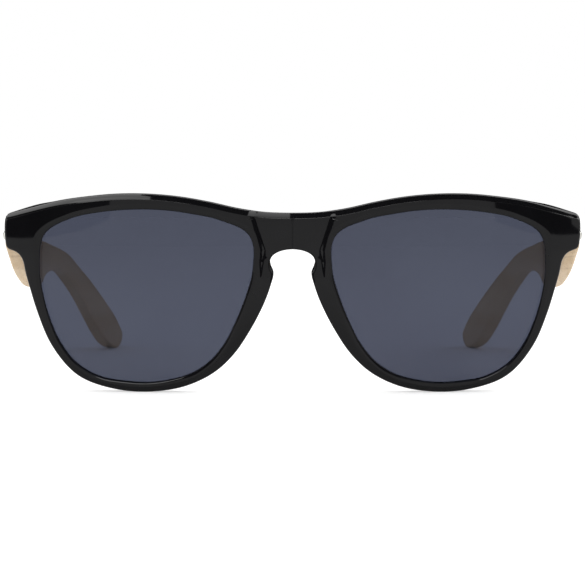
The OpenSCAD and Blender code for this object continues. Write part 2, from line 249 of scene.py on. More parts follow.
class Bench:
    """Modelling tools that work on one piece at a time."""

    # Vertices nearer to each other than these distances, in metres, are merged
    LOFT_MERGE = 2e-7
    MERGE = 1e-7
    MIDDLE_MERGE = 1e-6

    @staticmethod
    def clear() -> None:
        """Leaves edit mode and selects nothing."""
        if bpy.context.object and bpy.context.object.mode != "OBJECT":
            bpy.ops.object.mode_set(mode="OBJECT")
        bpy.ops.object.select_all(action="DESELECT")

    @staticmethod
    def take(piece: bpy.types.Object) -> None:
        """Makes a piece the only selected object, and the active one.

        Args:
            piece: The piece.
        """
        Bench.clear()
        piece.select_set(True)
        bpy.context.view_layer.objects.active = piece

    @staticmethod
    def named(name: str) -> bpy.types.Object:
        """Gives the object that was just added its name, and its mesh the same.

        Args:
            name: The name.

        Returns:
            The object.
        """
        piece = bpy.context.object
        piece.name = name
        piece.data.name = name
        return piece

    @staticmethod
    def loft(name: str, loops: Sequence[Line], ends: Ends) -> bpy.types.Object:
        """Extrudes a circle of vertices from loop to loop.

        Args:
            name: The piece's name.
            loops: Closed loops of points in millimetres, all with the same number of points.
            ends: Whether the end loops are filled, or the last one is joined to the first.

        Returns:
            The lofted piece, with its faces outwards.
        """
        Bench.clear()
        bpy.ops.mesh.primitive_circle_add(vertices=len(loops[0]), radius=MM, fill_type="NOTHING")
        piece = Bench.named(name)
        bpy.ops.object.mode_set(mode="EDIT")
        bpy.ops.mesh.select_mode(type="VERT")
        bpy.ops.mesh.select_all(action="SELECT")
        mesh = bmesh.from_edit_mesh(piece.data)
        mesh.verts.ensure_lookup_table()
        ring = [vertex.index for vertex in mesh.verts]
        for vertex, point in zip(mesh.verts, loops[0]):
            vertex.co = point * MM
        if ends is Ends.FILLED:
            bpy.ops.mesh.edge_face_add()
        following = list(loops[1:]) + ([loops[0]] if ends is Ends.WRAPPED else [])
        for loop in following:
            if ends is Ends.FILLED:
                Bench.pick_vertices(piece, set(ring))
            bpy.ops.mesh.extrude_edges_move()
            mesh = bmesh.from_edit_mesh(piece.data)
            mesh.verts.index_update()
            mesh.verts.ensure_lookup_table()
            following_ring = []
            for index, point in zip(ring, loop):
                old = mesh.verts[index]
                new = next(e.other_vert(old) for e in old.link_edges if e.other_vert(old).select)
                new.co = point * MM
                following_ring.append(new.index)
            ring = following_ring
        if ends is Ends.FILLED:
            bpy.ops.mesh.edge_face_add()
        bpy.ops.mesh.select_all(action="SELECT")
        bpy.ops.mesh.remove_doubles(threshold=Bench.LOFT_MERGE)
        bpy.ops.mesh.normals_make_consistent(inside=False)
        bpy.ops.object.mode_set(mode="OBJECT")
        return piece

    @staticmethod
    def pick_vertices(piece: bpy.types.Object, indices: set[int]) -> None:
        """Selects some vertices and the edges between them, but no face, in edit mode.

        Args:
            piece: The piece that is being edited.
            indices: The numbers of the vertices.
        """
        mesh = bmesh.from_edit_mesh(piece.data)
        for face in mesh.faces:
            face.select = False
        for edge in mesh.edges:
            edge.select = all(v.index in indices for v in edge.verts)
        for vertex in mesh.verts:
            vertex.select = vertex.index in indices
        bmesh.update_edit_mesh(piece.data)

    @staticmethod
    def pick_faces(piece: bpy.types.Object, wanted: Callable[[bmesh.types.BMFace], bool]) -> None:
        """Selects some faces, and nothing else, in edit mode.

        Args:
            piece: The piece that is being edited.
            wanted: Says of a face whether it is selected.
        """
        bpy.ops.mesh.select_all(action="DESELECT")
        mesh = bmesh.from_edit_mesh(piece.data)
        mesh.normal_update()
        for face in mesh.faces:
            if wanted(face):
                face.select_set(True)
        bmesh.update_edit_mesh(piece.data)

    @staticmethod
    def delete_faces(piece: bpy.types.Object, wanted: Callable[[bmesh.types.BMFace], bool]) -> None:
        """Deletes some faces.

        Args:
            piece: The piece.
            wanted: Says of a face whether it is deleted.
        """
        Bench.take(piece)
        bpy.ops.object.mode_set(mode="EDIT")
        bpy.ops.mesh.select_mode(type="FACE")
        Bench.pick_faces(piece, wanted)
        bpy.ops.mesh.delete(type="FACE")
        bpy.ops.mesh.select_mode(type="VERT")
        bpy.ops.object.mode_set(mode="OBJECT")

    @staticmethod
    def mirror_half(piece: bpy.types.Object) -> None:
        """Joins a half that is open at x = 0 to its mirror image.

        Args:
            piece: The half.
        """
        Bench.take(piece)
        bpy.ops.object.modifier_add(type="MIRROR")
        mirror = piece.modifiers[-1]
        mirror.use_axis = (True, False, False)
        mirror.use_clip = True
        mirror.merge_threshold = Bench.MIDDLE_MERGE
        bpy.ops.object.modifier_apply(modifier=mirror.name)
        Bench.face_outwards(piece)

    @staticmethod
    def face_outwards(piece: bpy.types.Object) -> None:
        """Merges doubled vertices and turns every face outwards.

        Args:
            piece: The piece.
        """
        Bench.take(piece)
        bpy.ops.object.mode_set(mode="EDIT")
        bpy.ops.mesh.select_all(action="SELECT")
        bpy.ops.mesh.remove_doubles(threshold=Bench.MERGE)
        bpy.ops.mesh.normals_make_consistent(inside=False)
        bpy.ops.object.mode_set(mode="OBJECT")

    @staticmethod
    def bevel(piece: bpy.types.Object, width: float, segments: int, angle: float = 30) -> None:
        """Rounds every edge sharper than an angle.

        Args:
            piece: The piece.
            width: The bevel's width in millimetres.
            segments: The number of faces across the bevel.
            angle: The least angle between faces, in degrees, that is rounded.
        """
        Bench.take(piece)
        bpy.ops.object.modifier_add(type="BEVEL")
        bevel = piece.modifiers[-1]
        bevel.width = width * MM
        bevel.segments = segments
        bevel.limit_method = "ANGLE"
        bevel.angle_limit = math.radians(angle)
        bevel.harden_normals = False
        bpy.ops.object.modifier_apply(modifier=bevel.name)

    @staticmethod
    def smooth(piece: bpy.types.Object, angle: float) -> None:
        """Shades the piece smooth, but for edges sharper than an angle in degrees."""
        Bench.take(piece)
        bpy.ops.object.shade_smooth_by_angle(angle=math.radians(angle))

    @staticmethod
    def join(pieces: Sequence[bpy.types.Object], name: str) -> bpy.types.Object:
        """Joins pieces into the first of them, and names it.

        Args:
            pieces: The pieces.
            name: The name of the joined piece.

        Returns:
            The joined piece.
        """
        Bench.take(pieces[0])
        for piece in pieces[1:]:
            piece.select_set(True)
        bpy.ops.object.join()
        return Bench.named(name)

    @staticmethod
    def other_side(piece: bpy.types.Object, name: str) -> bpy.types.Object:
        """Copies a piece of the wearer's left to the right, mirrored in x.

        Args:
            piece: The finished piece on the left.
            name: The copy's name.

        Returns:
            The copy, with a mesh of its own.
        """
        Bench.take(piece)
        bpy.ops.object.duplicate()
        copy = Bench.named(name)
        copy.scale = (-1, 1, 1)
        bpy.ops.object.transform_apply(location=False, rotation=False, scale=True)
        Bench.face_outwards(copy)
        return copy

    @staticmethod
    def prism(name: str, outline: Line, low: float, high: float) -> bpy.types.Object:
        """A flat outline in x and y, filled and extruded upwards.

        Args:
            name: The piece's name.
            outline: The outline's points in millimetres.
            low: The height of its underside.
            high: The height of its top.

        Returns:
            The prism.
        """
        Bench.clear()
        bpy.ops.mesh.primitive_circle_add(vertices=len(outline), radius=MM, fill_type="NGON")
        piece = Bench.named(name)
        bpy.ops.object.mode_set(mode="EDIT")
        mesh = bmesh.from_edit_mesh(piece.data)
        mesh.verts.ensure_lookup_table()
        for vertex, point in zip(mesh.verts, outline):
            vertex.co = Vector((point.x, point.y, low)) * MM
        bmesh.update_edit_mesh(piece.data)
        bpy.ops.mesh.select_all(action="SELECT")
        bpy.ops.mesh.extrude_region_move(TRANSFORM_OT_translate={"value": (0, 0, (high - low) * MM)})
        bpy.ops.mesh.select_all(action="SELECT")
        bpy.ops.mesh.normals_make_consistent(inside=False)
        bpy.ops.object.mode_set(mode="OBJECT")
        return piece

    @staticmethod
    def dress(piece: bpy.types.Object, material: bpy.types.Material) -> None:
        """Gives the piece one material."""
        piece.data.materials.clear()
        piece.data.materials.append(material)


# Finishes


class Tree:
    """A node tree, with short ways to add and join nodes."""

    # Places of the colour sockets of a Mix node, whose names are shared with its other sockets
    MIX_IN = (6, 7)
    MIX_OUT = 2

    def __init__(self, tree: bpy.types.NodeTree) -> None:
        """Takes the tree to which nodes are added."""
        self.tree = tree

    def add(self, kind: str, **values: object) -> bpy.types.Node:
        """Adds a node and sets its attributes.

        Args:
            kind: The node's type.
            values: The attributes.

        Returns:
            The node.
        """
        node = self.tree.nodes.new(kind)
        for name, value in values.items():
            setattr(node, name, value)
        return node

    def join(self, out: Socket, into: Socket) -> None:
        """Links an output to an input."""
        self.tree.links.new(out, into)

    def place(self, scale: Sequence[float]) -> Socket:
        """The point on the piece, stretched.

        Args:
            scale: How many pattern units go into a metre along x, y and z.

        Returns:
            The stretched coordinates.
        """
        coordinates = self.add("ShaderNodeTexCoord")
        mapping = self.add("ShaderNodeMapping")
        mapping.inputs["Scale"].default_value = scale
        self.join(coordinates.outputs["Object"], mapping.inputs["Vector"])
        return mapping.outputs["Vector"]

    def noise(self, scale: Sequence[float], detail: float = 2.0, roughness: float = 0.5) -> Socket:
        """A cloudy value between 0 and 1.

        Args:
            scale: How many clouds go into a metre along x, y and z.
            detail: How many finer layers are added.
            roughness: How strong the finer layers are.

        Returns:
            The value.
        """
        noise = self.add("ShaderNodeTexNoise")
        noise.inputs["Scale"].default_value = 1.0
        noise.inputs["Detail"].default_value = detail
        noise.inputs["Roughness"].default_value = roughness
        self.join(self.place(scale), noise.inputs["Vector"])
        return noise.outputs["Fac"]

    def span(self, value: Socket, source: Range, target: Range = WHOLE) -> Socket:
        """Stretches a value from one range to another, held at the ends.

        Args:
            value: The value.
            source: The range that is read.
            target: The range that is given back.

        Returns:
            The new value.
        """
        node = self.add("ShaderNodeMapRange")
        node.inputs["From Min"].default_value = source[0]
        node.inputs["From Max"].default_value = source[1]
        node.inputs["To Min"].default_value = target[0]
        node.inputs["To Max"].default_value = target[1]
        self.join(value, node.inputs["Value"])
        return node.outputs["Result"]

    def sum(self, operation: str, first: Socket, second: Socket | float = 0.0) -> Socket:
        """A sum of one or two values.

        Args:
            operation: The Math node's operation.
            first: The first value.
            second: The second value, or a number.

        Returns:
            The result.
        """
        node = self.add("ShaderNodeMath", operation=operation)
        self.join(first, node.inputs[0])
        if isinstance(second, Socket):
            self.join(second, node.inputs[1])
        else:
            node.inputs[1].default_value = second
        return node.outputs[0]

    def blend(self, amount: Socket, first: Socket | Colour, second: Socket | Colour) -> Socket:
        """A mixture of two colours.

        Args:
            amount: How much of the second one shows.
            first: The first colour, or a link to one.
            second: The second colour, or a link to one.

        Returns:
            The mixed colour.
        """
        node = self.add("ShaderNodeMix", data_type="RGBA")
        self.join(amount, node.inputs["Factor"])
        for place, colour in zip(self.MIX_IN, (first, second)):
            if isinstance(colour, Socket):
                self.join(colour, node.inputs[place])
            else:
                node.inputs[place].default_value = (*colour, 1.0)
        return node.outputs[self.MIX_OUT]


class Nodes(Tree):
    """A material's node tree, with the Principled shader that it ends in."""

    def __init__(self, name: str) -> None:
        """Starts a material with only a Principled shader and its output.

        Args:
            name: The material's name.
        """
        self.material = bpy.data.materials.new(name)
        self.material.use_nodes = True
        super().__init__(self.material.node_tree)
        self.shader = self.tree.nodes["Principled BSDF"]

    def set(self, **values: object) -> None:
        """Sets the shader's own sockets; a name's underscores stand for spaces."""
        for name, value in values.items():
            self.shader.inputs[name.replace("_", " ")].default_value = value

    def bump(self, height: Socket, depth: float, strength: float) -> None:
        """Raises the surface by a height map.

        Args:
            height: The height, from 0 to 1.
            depth: The height of 1, in millimetres.
            strength: How strongly it shows.
        """
        node = self.add("ShaderNodeBump")
        node.inputs["Distance"].default_value = depth * MM
        node.inputs["Strength"].default_value = strength
        self.join(height, node.inputs["Height"])
        self.join(node.outputs["Normal"], self.shader.inputs["Normal"])


@dataclass(frozen=True)
class PolishedBlack:
    """Black moulded plastic with a tumbled polish: clouds of haze, fine wipe marks and a faint peel."""

    colour: Colour = (0.0045, 0.0044, 0.0051)
    haze: Colour = (0.0058, 0.0057, 0.0066)
    specular: float = 0.2
    roughness: Range = (0.035, 0.075)
    cloud_scale: Scale = (90, 90, 90)
    clouds_shown: Range = (0.35, 0.7)
    wipe_scale: Scale = (260, 700, 420)
    wipes_shown: Range = (0.3, 0.75)
    peel_scale: Scale = (420, 420, 420)
    peel_depth: float = 0.004
    peel_strength: float = 0.35

    def material(self) -> bpy.types.Material:
        """Makes the finish.

        Returns:
            The finish as a material.
        """
        nodes = Nodes("polished_black")
        clouds = nodes.noise(self.cloud_scale, detail=4)
        colour = nodes.blend(nodes.span(clouds, self.clouds_shown), self.colour, self.haze)
        nodes.join(colour, nodes.shader.inputs["Base Color"])
        wipes = nodes.noise(self.wipe_scale, detail=5, roughness=0.65)
        nodes.join(nodes.span(wipes, self.wipes_shown, self.roughness), nodes.shader.inputs["Roughness"])
        nodes.set(Specular_IOR_Level=self.specular)
        nodes.bump(nodes.noise(self.peel_scale), self.peel_depth, self.peel_strength)
        return nodes.material


@dataclass(frozen=True)
class SmokeLens:
    """Clear plastic, dyed through a little unevenly, with faint wipe marks."""

    dye: Colour = (0.067, 0.075, 0.107)
    dye_edge: Colour = (0.063, 0.070, 0.101)
    roughness: Range = (0.0, 0.004)
    ior: float = 1.22
    cloud_scale: Scale = (35, 35, 35)
    clouds_shown: Range = (0.35, 0.65)
    wipe_scale: Scale = (180, 180, 180)
    wipes_shown: Range = (0.3, 0.7)

    def material(self) -> bpy.types.Material:
        """Makes the finish.

        Returns:
            The finish as a material.
        """
        nodes = Nodes("smoke_lens")
        clouds = nodes.noise(self.cloud_scale)
        colour = nodes.blend(nodes.span(clouds, self.clouds_shown), self.dye, self.dye_edge)
        nodes.join(colour, nodes.shader.inputs["Base Color"])
        wipes = nodes.noise(self.wipe_scale, detail=4)
        nodes.join(nodes.span(wipes, self.wipes_shown, self.roughness), nodes.shader.inputs["Roughness"])
        nodes.set(Transmission_Weight=1.0, IOR=self.ior)
        return nodes.material


@dataclass(frozen=True)
class Bamboo:
    """Bamboo strips glued side by side, with the fibres along the temple; lengths in millimetres."""

    pale: Colour = (0.81, 0.635, 0.435)
    warm: Colour = (0.71, 0.53, 0.335)
    fibre: Colour = (0.48, 0.34, 0.20)
    roughness: Range = (0.42, 0.6)
    specular: float = 0.35
    strip: float = 4.6
    strip_shift: float = 1.7
    strips_below: int = 100
    strip_tone: float = 0.22
    streak_scale: Scale = (650, 16, 650)
    streaks_shown: Range = (0.34, 0.72)
    streaks_rough: Range = (0.3, 0.7)
    fleck_scale: Scale = (3300, 90, 3300)
    flecks_shown: Range = (0.56, 0.72)
    fleck_depth: float = 0.7
    seam_w: float = 0.035
    seam_depth: float = 0.35
    seam_relief: float = 0.6
    node_gap: float = 47.0
    nodes_before: int = 40
    node_scale: Scale = (400, 60, 400)
    node_wave: float = 1.6
    node_w: float = 0.016
    node_depth: float = 0.5
    grain_depth: float = 0.03
    grain_strength: float = 0.5

    def material(self) -> bpy.types.Material:
        """Makes the finish.

        Returns:
            The finish as a material.
        """
        nodes = Nodes("bamboo")
        axes = nodes.add("ShaderNodeSeparateXYZ")
        nodes.join(nodes.place((1 / MM, 1 / MM, 1 / MM)), axes.inputs[0])
        # Each strip has a number, and a chance value that gives its tone and shifts its nodes
        height = nodes.sum("ADD", axes.outputs["Z"], self.strips_below * self.strip + self.strip_shift)
        across = nodes.sum("DIVIDE", height, self.strip)
        chance = nodes.add("ShaderNodeTexWhiteNoise", noise_dimensions="1D")
        nodes.join(nodes.sum("FLOOR", across), chance.inputs["W"])
        tone = nodes.span(chance.outputs["Value"], WHOLE, (-self.strip_tone, self.strip_tone))

        streaks = nodes.noise(self.streak_scale, detail=5, roughness=0.6)
        body = nodes.sum("ADD", streaks, tone)
        colour = nodes.blend(nodes.span(body, self.streaks_shown), self.pale, self.warm)

        threads = nodes.noise(self.fleck_scale)
        flecks = nodes.span(threads, self.flecks_shown, (0.0, self.fleck_depth))
        colour = nodes.blend(flecks, colour, self.fibre)

        off_middle = self.off_middle(nodes, nodes.sum("FRACT", across))
        seam = nodes.span(off_middle, (0.5 - self.seam_w, 0.5), (0.0, self.seam_depth))
        colour = nodes.blend(seam, colour, self.fibre)

        shift = nodes.sum("MULTIPLY", chance.outputs["Value"], self.node_gap)
        shifted = nodes.sum("ADD", axes.outputs["Y"], shift)
        wave = nodes.sum("MULTIPLY", nodes.noise(self.node_scale), self.node_wave)
        wavy = nodes.sum("ADD", nodes.sum("ADD", shifted, wave), self.nodes_before * self.node_gap)
        along = nodes.sum("FRACT", nodes.sum("DIVIDE", wavy, self.node_gap))
        ring = nodes.span(self.off_middle(nodes, along), (0.0, self.node_w), (self.node_depth, 0.0))
        colour = nodes.blend(ring, colour, self.fibre)
        nodes.join(colour, nodes.shader.inputs["Base Color"])

        nodes.join(nodes.span(streaks, self.streaks_rough, self.roughness), nodes.shader.inputs["Roughness"])
        nodes.set(Specular_IOR_Level=self.specular)
        raised = nodes.sum("SUBTRACT", streaks, flecks)
        relief = nodes.sum("SUBTRACT", raised, nodes.sum("MULTIPLY", seam, self.seam_relief))
        nodes.bump(relief, self.grain_depth, self.grain_strength)
        return nodes.material

    @staticmethod
    def off_middle(nodes: Nodes, fraction: Socket) -> Socket:
        """How far a fraction lies from a half, from 0 to 0.5."""
        return nodes.sum("ABSOLUTE", nodes.sum("SUBTRACT", fraction, 0.5))


@dataclass(frozen=True)
class Metal:
    """Plated or bare metal with fine scratches along one way."""

    name: str
    colour: Colour
    dull: Colour
    roughness: Range
    grain: Scale
    scratch: float
    cloud_scale: Scale = (500, 500, 500)
    clouds_shown: Range = (0.4, 0.75)
    lines_shown: Range = (0.3, 0.75)
    line_strength: float = 0.5

    def material(self) -> bpy.types.Material:
        """Makes the finish.

        Returns:
            The finish as a material.
        """
        nodes = Nodes(self.name)
        clouds = nodes.noise(self.cloud_scale, detail=3)
        colour = nodes.blend(nodes.span(clouds, self.clouds_shown), self.colour, self.dull)
        nodes.join(colour, nodes.shader.inputs["Base Color"])
        nodes.set(Metallic=1.0)
        lines = nodes.noise(self.grain, detail=4, roughness=0.6)
        nodes.join(nodes.span(lines, self.lines_shown, self.roughness), nodes.shader.inputs["Roughness"])
        nodes.bump(lines, self.scratch, self.line_strength)
        return nodes.material


class HingeMetal(Enum):
    """The metals of the hinges, the rivets and the screws."""

    NICKEL = Metal(
        name="nickel_plate",
        colour=(0.6, 0.59, 0.56),
        dull=(0.45, 0.44, 0.41),
        roughness=(0.2, 0.38),
        grain=(900, 300, 5200),
        scratch=0.006,
    )
    BRIGHT = Metal(
        name="bright_nickel",
        colour=(0.66, 0.65, 0.61),
        dull=(0.5, 0.49, 0.45),
        roughness=(0.08, 0.2),
        grain=(1500, 1500, 1500),
        scratch=0.003,
    )
    STEEL = Metal(
        name="bare_steel",
        colour=(0.6, 0.6, 0.61),
        dull=(0.42, 0.42, 0.43),
        roughness=(0.24, 0.42),
        grain=(2600, 2600, 600),
        scratch=0.008,
    )

    def material(self) -> bpy.types.Material:
        """The metal as a material."""
        return self.value.material()


@dataclass(frozen=True)
class Paper:
    """White paper that glows for the camera, less in reflections, and least behind the lenses."""

    pale: Colour = (0.86, 0.86, 0.86)
    grey: Colour = (0.84, 0.84, 0.84)
    roughness: float = 0.9
    specular: float = 0.1
    fibre_scale: Scale = (400, 400, 400)
    fibres_shown: Range = (0.3, 0.7)
    glow: float = 0.5
    glow_mirrored: float = 0.18
    glow_behind: float = 0.06

    def material(self) -> bpy.types.Material:
        """Makes the finish.

        Returns:
            The finish as a material.
        """
        nodes = Nodes("paper")
        fibres = nodes.noise(self.fibre_scale, detail=3)
        colour = nodes.blend(nodes.span(fibres, self.fibres_shown), self.grey, self.pale)
        nodes.join(colour, nodes.shader.inputs["Base Color"])
        nodes.set(Roughness=self.roughness, Specular_IOR_Level=self.specular, Emission_Color=WHITE)
        path = nodes.add("ShaderNodeLightPath").outputs
        seen = nodes.sum("MULTIPLY", path["Is Camera Ray"], self.glow)
        mirrored = nodes.sum("MULTIPLY", path["Is Glossy Ray"], self.glow_mirrored)
        behind = nodes.sum("MULTIPLY", path["Is Transmission Ray"], self.glow_behind)
        glow = nodes.sum("ADD", nodes.sum("ADD", seen, mirrored), behind)
        nodes.join(glow, nodes.shader.inputs["Emission Strength"])
        return nodes.material


@dataclass(frozen=True)
class CardFace:
    """The face of a card: matt black, and glowing where the card paints a highlight into reflections."""

    name: str
    glow: float
    black: tuple[float, float, float, float] = (0.002, 0.002, 0.002, 1.0)

    def material(self) -> bpy.types.Material:
        """Makes the finish.

        Returns:
            The finish as a material.
        """
        nodes = Nodes(self.name)
        nodes.set(Base_Color=self.black, Roughness=1.0, Specular_IOR_Level=0.0)
        nodes.set(Emission_Color=WHITE, Emission_Strength=self.glow)
        return nodes.material


# The front and what is set in it


@dataclass
class Front:
    """The moulded front: outline, depths and sections, in millimetres, drawn flat and then leaned."""

    # Openings, bridge and rim
    lens_w: float = 54.1
    lens_h: float = 44.8
    bridge_w: float = 19.7
    bridge_below: float = 2.05
    end_w: float = 9.5
    rim_w: float = 2.35
    rim_t: float = 4.2
    # The curve of the face, its lean, and the lens in it
    base_r: float = 88.0
    tilt: float = 8.0
    wrap: float = 4.5
    lens_t: float = 1.8
    lens_set: float = 1.35
    seat_gap: float = 0.1
    # The panel of the bridge between its two creases
    crease_beside: float = 1.05
    crease_lean: float = 0.33
    crease_soft: float = 0.3
    crease_flare: float = 0.17
    panel_in: float = 0.74
    panel_run: float = 1.25
    panel_low: float = 28.0
    panel_full: float = 35.5
    panel_thin: float = 0.7
    panel_least: float = 0.2
    ramp_soft: float = 0.1
    # The keyhole
    key_share: float = 0.29
    key_below: float = 13.8
    key_rise: float = 3.0
    key_fall: float = 5.2
    key_turn: float = 37.0
    key_lift: float = 5.0
    key_near: float = 1.2
    key_steps: int = 24
    # The end pieces
    end_lift: float = 1.5
    end_run: float = 6.0
    butt_y: float = 11.0
    block_l: float = 13.5
    block_h: float = 21.0
    block_run: float = 8.0
    block_rise: float = 7.0
    # The section: brow, outer edges, bevel, lips and groove
    brow_w: float = 0.95
    brow_d: float = 2.75
    side_r: float = 0.45
    corner_r: float = 0.18
    back_r: float = 0.45
    bevel_w: float = 1.15
    bevel_d: float = 0.9
    bevel_swing: float = 0.25
    bevel_wide: float = 135.0
    bevel_round: float = 0.55
    bevel_share: float = 0.5
    lip_w: float = 1.4
    lip_share: float = 0.3
    lip_d: float = 0.2
    lip_cover: float = 0.3
    lip_open: float = 0.3
    groove_d: float = 1.1
    # The nose pads
    pad_d: float = 4.4
    pad_splay: float = 1.7
    pad_fade: float = 0.85
    pad_mid: float = 199.0
    pad_reach: float = 25.0
    # The mesh
    station_gap: float = 0.6
    relax_rounds: int = 2
    corner_reach: float = 1.1
    bridge_steps: int = 9
    lens_rings: tuple[float, ...] = (0.02, 0.1, 0.2, 0.32, 0.45, 0.58, 0.7, 0.81, 0.9, 0.96, 0.995)
    lens_step: int = 2
    # Edges sharper than this angle in degrees stay sharp
    sharp: float = 38.0
    lens_sharp: float = 50.0
    # From the middle of an opening to its edge, every 15 degrees from the outer end upwards
    opening_r: tuple[float, ...] = (
        26.4, 28.1, 29.8, 27.1, 24.3, 22.7, 22.2, 22.7, 24.2, 27.1, 30.2, 27.9,
        25.1, 23.5, 23.1, 23.1, 23.0, 22.6, 22.7, 23.3, 24.8, 25.7, 25.6, 25.6,
    )
    # Angle round the opening, and width of the rim beyond rim_w
    lower_stops: tuple[Pair, ...] = (
        (181, 3.05), (189, 2.55), (200, 1.9), (212, 1.35), (227, 0.75), (245, 0.2), (266, 0.0),
        (288, -0.05), (310, -0.05), (331, 0.05), (349, 0.3), (362, 0.9),
    )
    upper_stops: tuple[Pair, ...] = (
        (47, 2.6), (58, 1.7), (73, 1.15), (92, 0.8), (109, 0.8), (124, 1.05), (138, 2.0),
    )
    # Places from the upper outer corner of the end piece
    end_under: tuple[Pair, ...] = ((-5.4, -16.4), (-5.1, -14.7), (-4.0, -12.9), (-0.5, -11.75), (2.0, -11.2))
    end_beside: tuple[Pair, ...] = ((-1.0, -14.0), (-0.5, -11.75), (0.0, -8.0), (-0.1, -3.6), (-0.5, 0.0))
    end_over: tuple[Pair, ...] = ((4.0, -4.8), (-0.1, -3.6), (-6.0, -1.75))
    # The shoulder of the bridge: its share of the half bridge, and how far it lies below the opening's top
    shoulder: Pair = (0.96, 1.55)
    plan: Line = field(default_factory=list)
    normals: Line = field(default_factory=list)
    top_station: int = 0
    shift: Vector = field(default_factory=lambda: Vector((0, 0, 0)))

    def __post_init__(self) -> None:
        """Works out the places that follow from the sizes, then the stations."""
        self.opening_in = self.bridge_w / 2
        self.opening_out = self.bridge_w / 2 + self.lens_w
        self.opening_top = self.rim_w + self.lens_h
        self.eye = Vector((self.opening_in + self.lens_w / 2, self.rim_w + self.lens_h / 2))
        turn = math.radians(self.wrap)
        self.ball = Vector((self.eye.x - self.base_r * math.sin(turn), self.eye.y))
        self.ball_w = self.base_r * math.cos(turn)
        self.key_half = self.bridge_w * self.key_share
        self.key_side_z = self.opening_top - self.key_below
        self.key_arch_z = self.key_side_z + self.key_rise
        self.bridge_top_z = self.opening_top - self.bridge_below
        self.crease_x = self.key_half + self.crease_beside
        self.half_w = self.opening_out + self.end_w
        self.block_in = self.half_w - self.block_l
        self.block_low = self.opening_top - self.block_h
        self.groove_in = self.lens_set - self.seat_gap
        self.groove_out = self.lens_set + self.lens_t + self.seat_gap
        self.make_stations()

    # Outlines

    def drawn_r(self, angle: float) -> float:
        """Distance from the middle of the opening to its edge.

        Args:
            angle: The angle round the opening in degrees, from the outer end upwards.

        Returns:
            The distance on a smooth curve through the given ones.
        """
        n = len(self.opening_r)
        at = (angle % 360) / (360 / n)
        i = math.floor(at)
        t = at - i
        a, b, c, d = (self.opening_r[(i + k) % n] for k in (-1, 0, 1, 2))
        return b + 0.5 * t * (c - a + t * (2 * a - 5 * b + 4 * c - d + t * (3 * b - a - 3 * c + d)))

    def rim_point(self, angle: float, extra: float) -> Vector:
        """A point beside the edge of the opening.

        Args:
            angle: The angle round the opening in degrees.
            extra: How far outside the edge it lies.

        Returns:
            The point.
        """
        turn = math.radians(angle)
        edge = Vector((math.cos(turn), math.sin(turn))) * self.drawn_r(angle)
        return self.eye + edge + edge.normalized() * extra

    def opening_point(self, p: Vector, extra: float) -> Vector:
        """The point on the edge of the opening that faces p, moved extra millimetres outwards."""
        q = p - self.eye
        return self.rim_point(math.degrees(math.atan2(q.y, q.x)), extra)

    def aim(self, p: Vector) -> Vector:
        """Where a station looks for its place on the opening, so that no two sections cross.

        Args:
            p: The station.

        Returns:
            A place above the station in the keyhole and at the end piece, or else the station.
        """
        middle = clamp(1 - p.x / (self.key_near * self.key_half))
        under = clamp((self.bridge_top_z - p.y) / (self.bridge_top_z - self.key_arch_z))
        end = ease((p.x - self.half_w + self.end_run) / self.end_run)
        return Vector((p.x, p.y + self.key_lift * middle * under + self.end_lift * end))

    def keyhole(self) -> Line:
        """Draws the edge of the keyhole.

        Returns:
            Its points, from its top to the notch.
        """
        steps = self.key_steps
        line = []
        for i in range(steps + 1):
            turn = math.radians(90 - i * (90 + self.key_turn) / steps)
            rise = self.key_rise if turn > 0 else self.key_fall
            line.append(Vector((self.key_half * math.cos(turn), self.key_side_z + rise * math.sin(turn))))
        line[0].x = 0.0
        return line

    def round_rim(self, stops: Sequence[Pair]) -> Line:
        """The points of a stretch of the rim, from angles and widths."""
        return [self.rim_point(angle, self.rim_w + extra) for angle, extra in stops]

    def round_end(self, stops: Sequence[Pair]) -> Line:
        """The points of a stretch of the end piece, from places beside its upper outer corner."""
        return [Vector((self.half_w + x, self.opening_top + z)) for x, z in stops]

    def lower_outline(self, notch: Vector) -> Line:
        """From the notch, round the bottom of the rim and up to the end piece.

        Args:
            notch: The lower end of the keyhole's edge.

        Returns:
            The points of the outline.
        """
        before = notch + Vector((-1, 3))
        stops = self.round_rim(self.lower_stops) + self.round_end(self.end_under)
        return smooth_line([before, notch] + stops, self.station_gap)

    def end_side(self) -> Line:
        """The outer side of the end piece."""
        return smooth_line(self.round_end(self.end_beside), self.station_gap)

    def upper_outline(self) -> Line:
        """From the end piece over the brow to the middle of the bridge.

        Returns:
            The points of the outline.
        """
        share, below = self.shoulder
        bridge = [
            Vector((self.opening_in * share, self.opening_top - below)),
            Vector((0.0, self.bridge_top_z)),
            Vector((-self.opening_in * share, self.opening_top - below)),
        ]
        stops = self.round_end(self.end_over) + self.round_rim(self.upper_stops)
        return smooth_line(stops + bridge, self.station_gap)

    def make_stations(self) -> None:
        """Fills plan with the stations of one half, and normals with the ways into the rim."""
        key = self.keyhole()
        rough = key + self.lower_outline(key[-1])[1:] + self.end_side()[1:] + self.upper_outline()[1:]
        outline = relaxed(even_line(rough, self.station_gap), self.relax_rounds)
        self.top_station = len(outline) - 1
        high = self.bridge_top_z - self.brow_w
        low = self.key_arch_z + self.side_r
        self.plan = outline.copy()
        for step in range(1, self.bridge_steps + 1):
            self.plan.append(Vector((0.0, mix(high, low, step / (self.bridge_steps + 1)))))
        ways = []
        for a, b in zip(outline, outline[1:]):
            run = (b - a).normalized()
            ways.append(Vector((-run.y, run.x)))
        near = max(1, round(self.corner_reach / self.station_gap))
        self.normals = []
        for i in range(len(outline)):
            total = Vector((0.0, 0.0))
            for way in ways[max(0, i - near) : i + near]:
                total += way
            self.normals.append(total.normalized())
        self.normals[0] = Vector((0.0, 1.0))
        self.normals[-1] = Vector((0.0, -1.0))

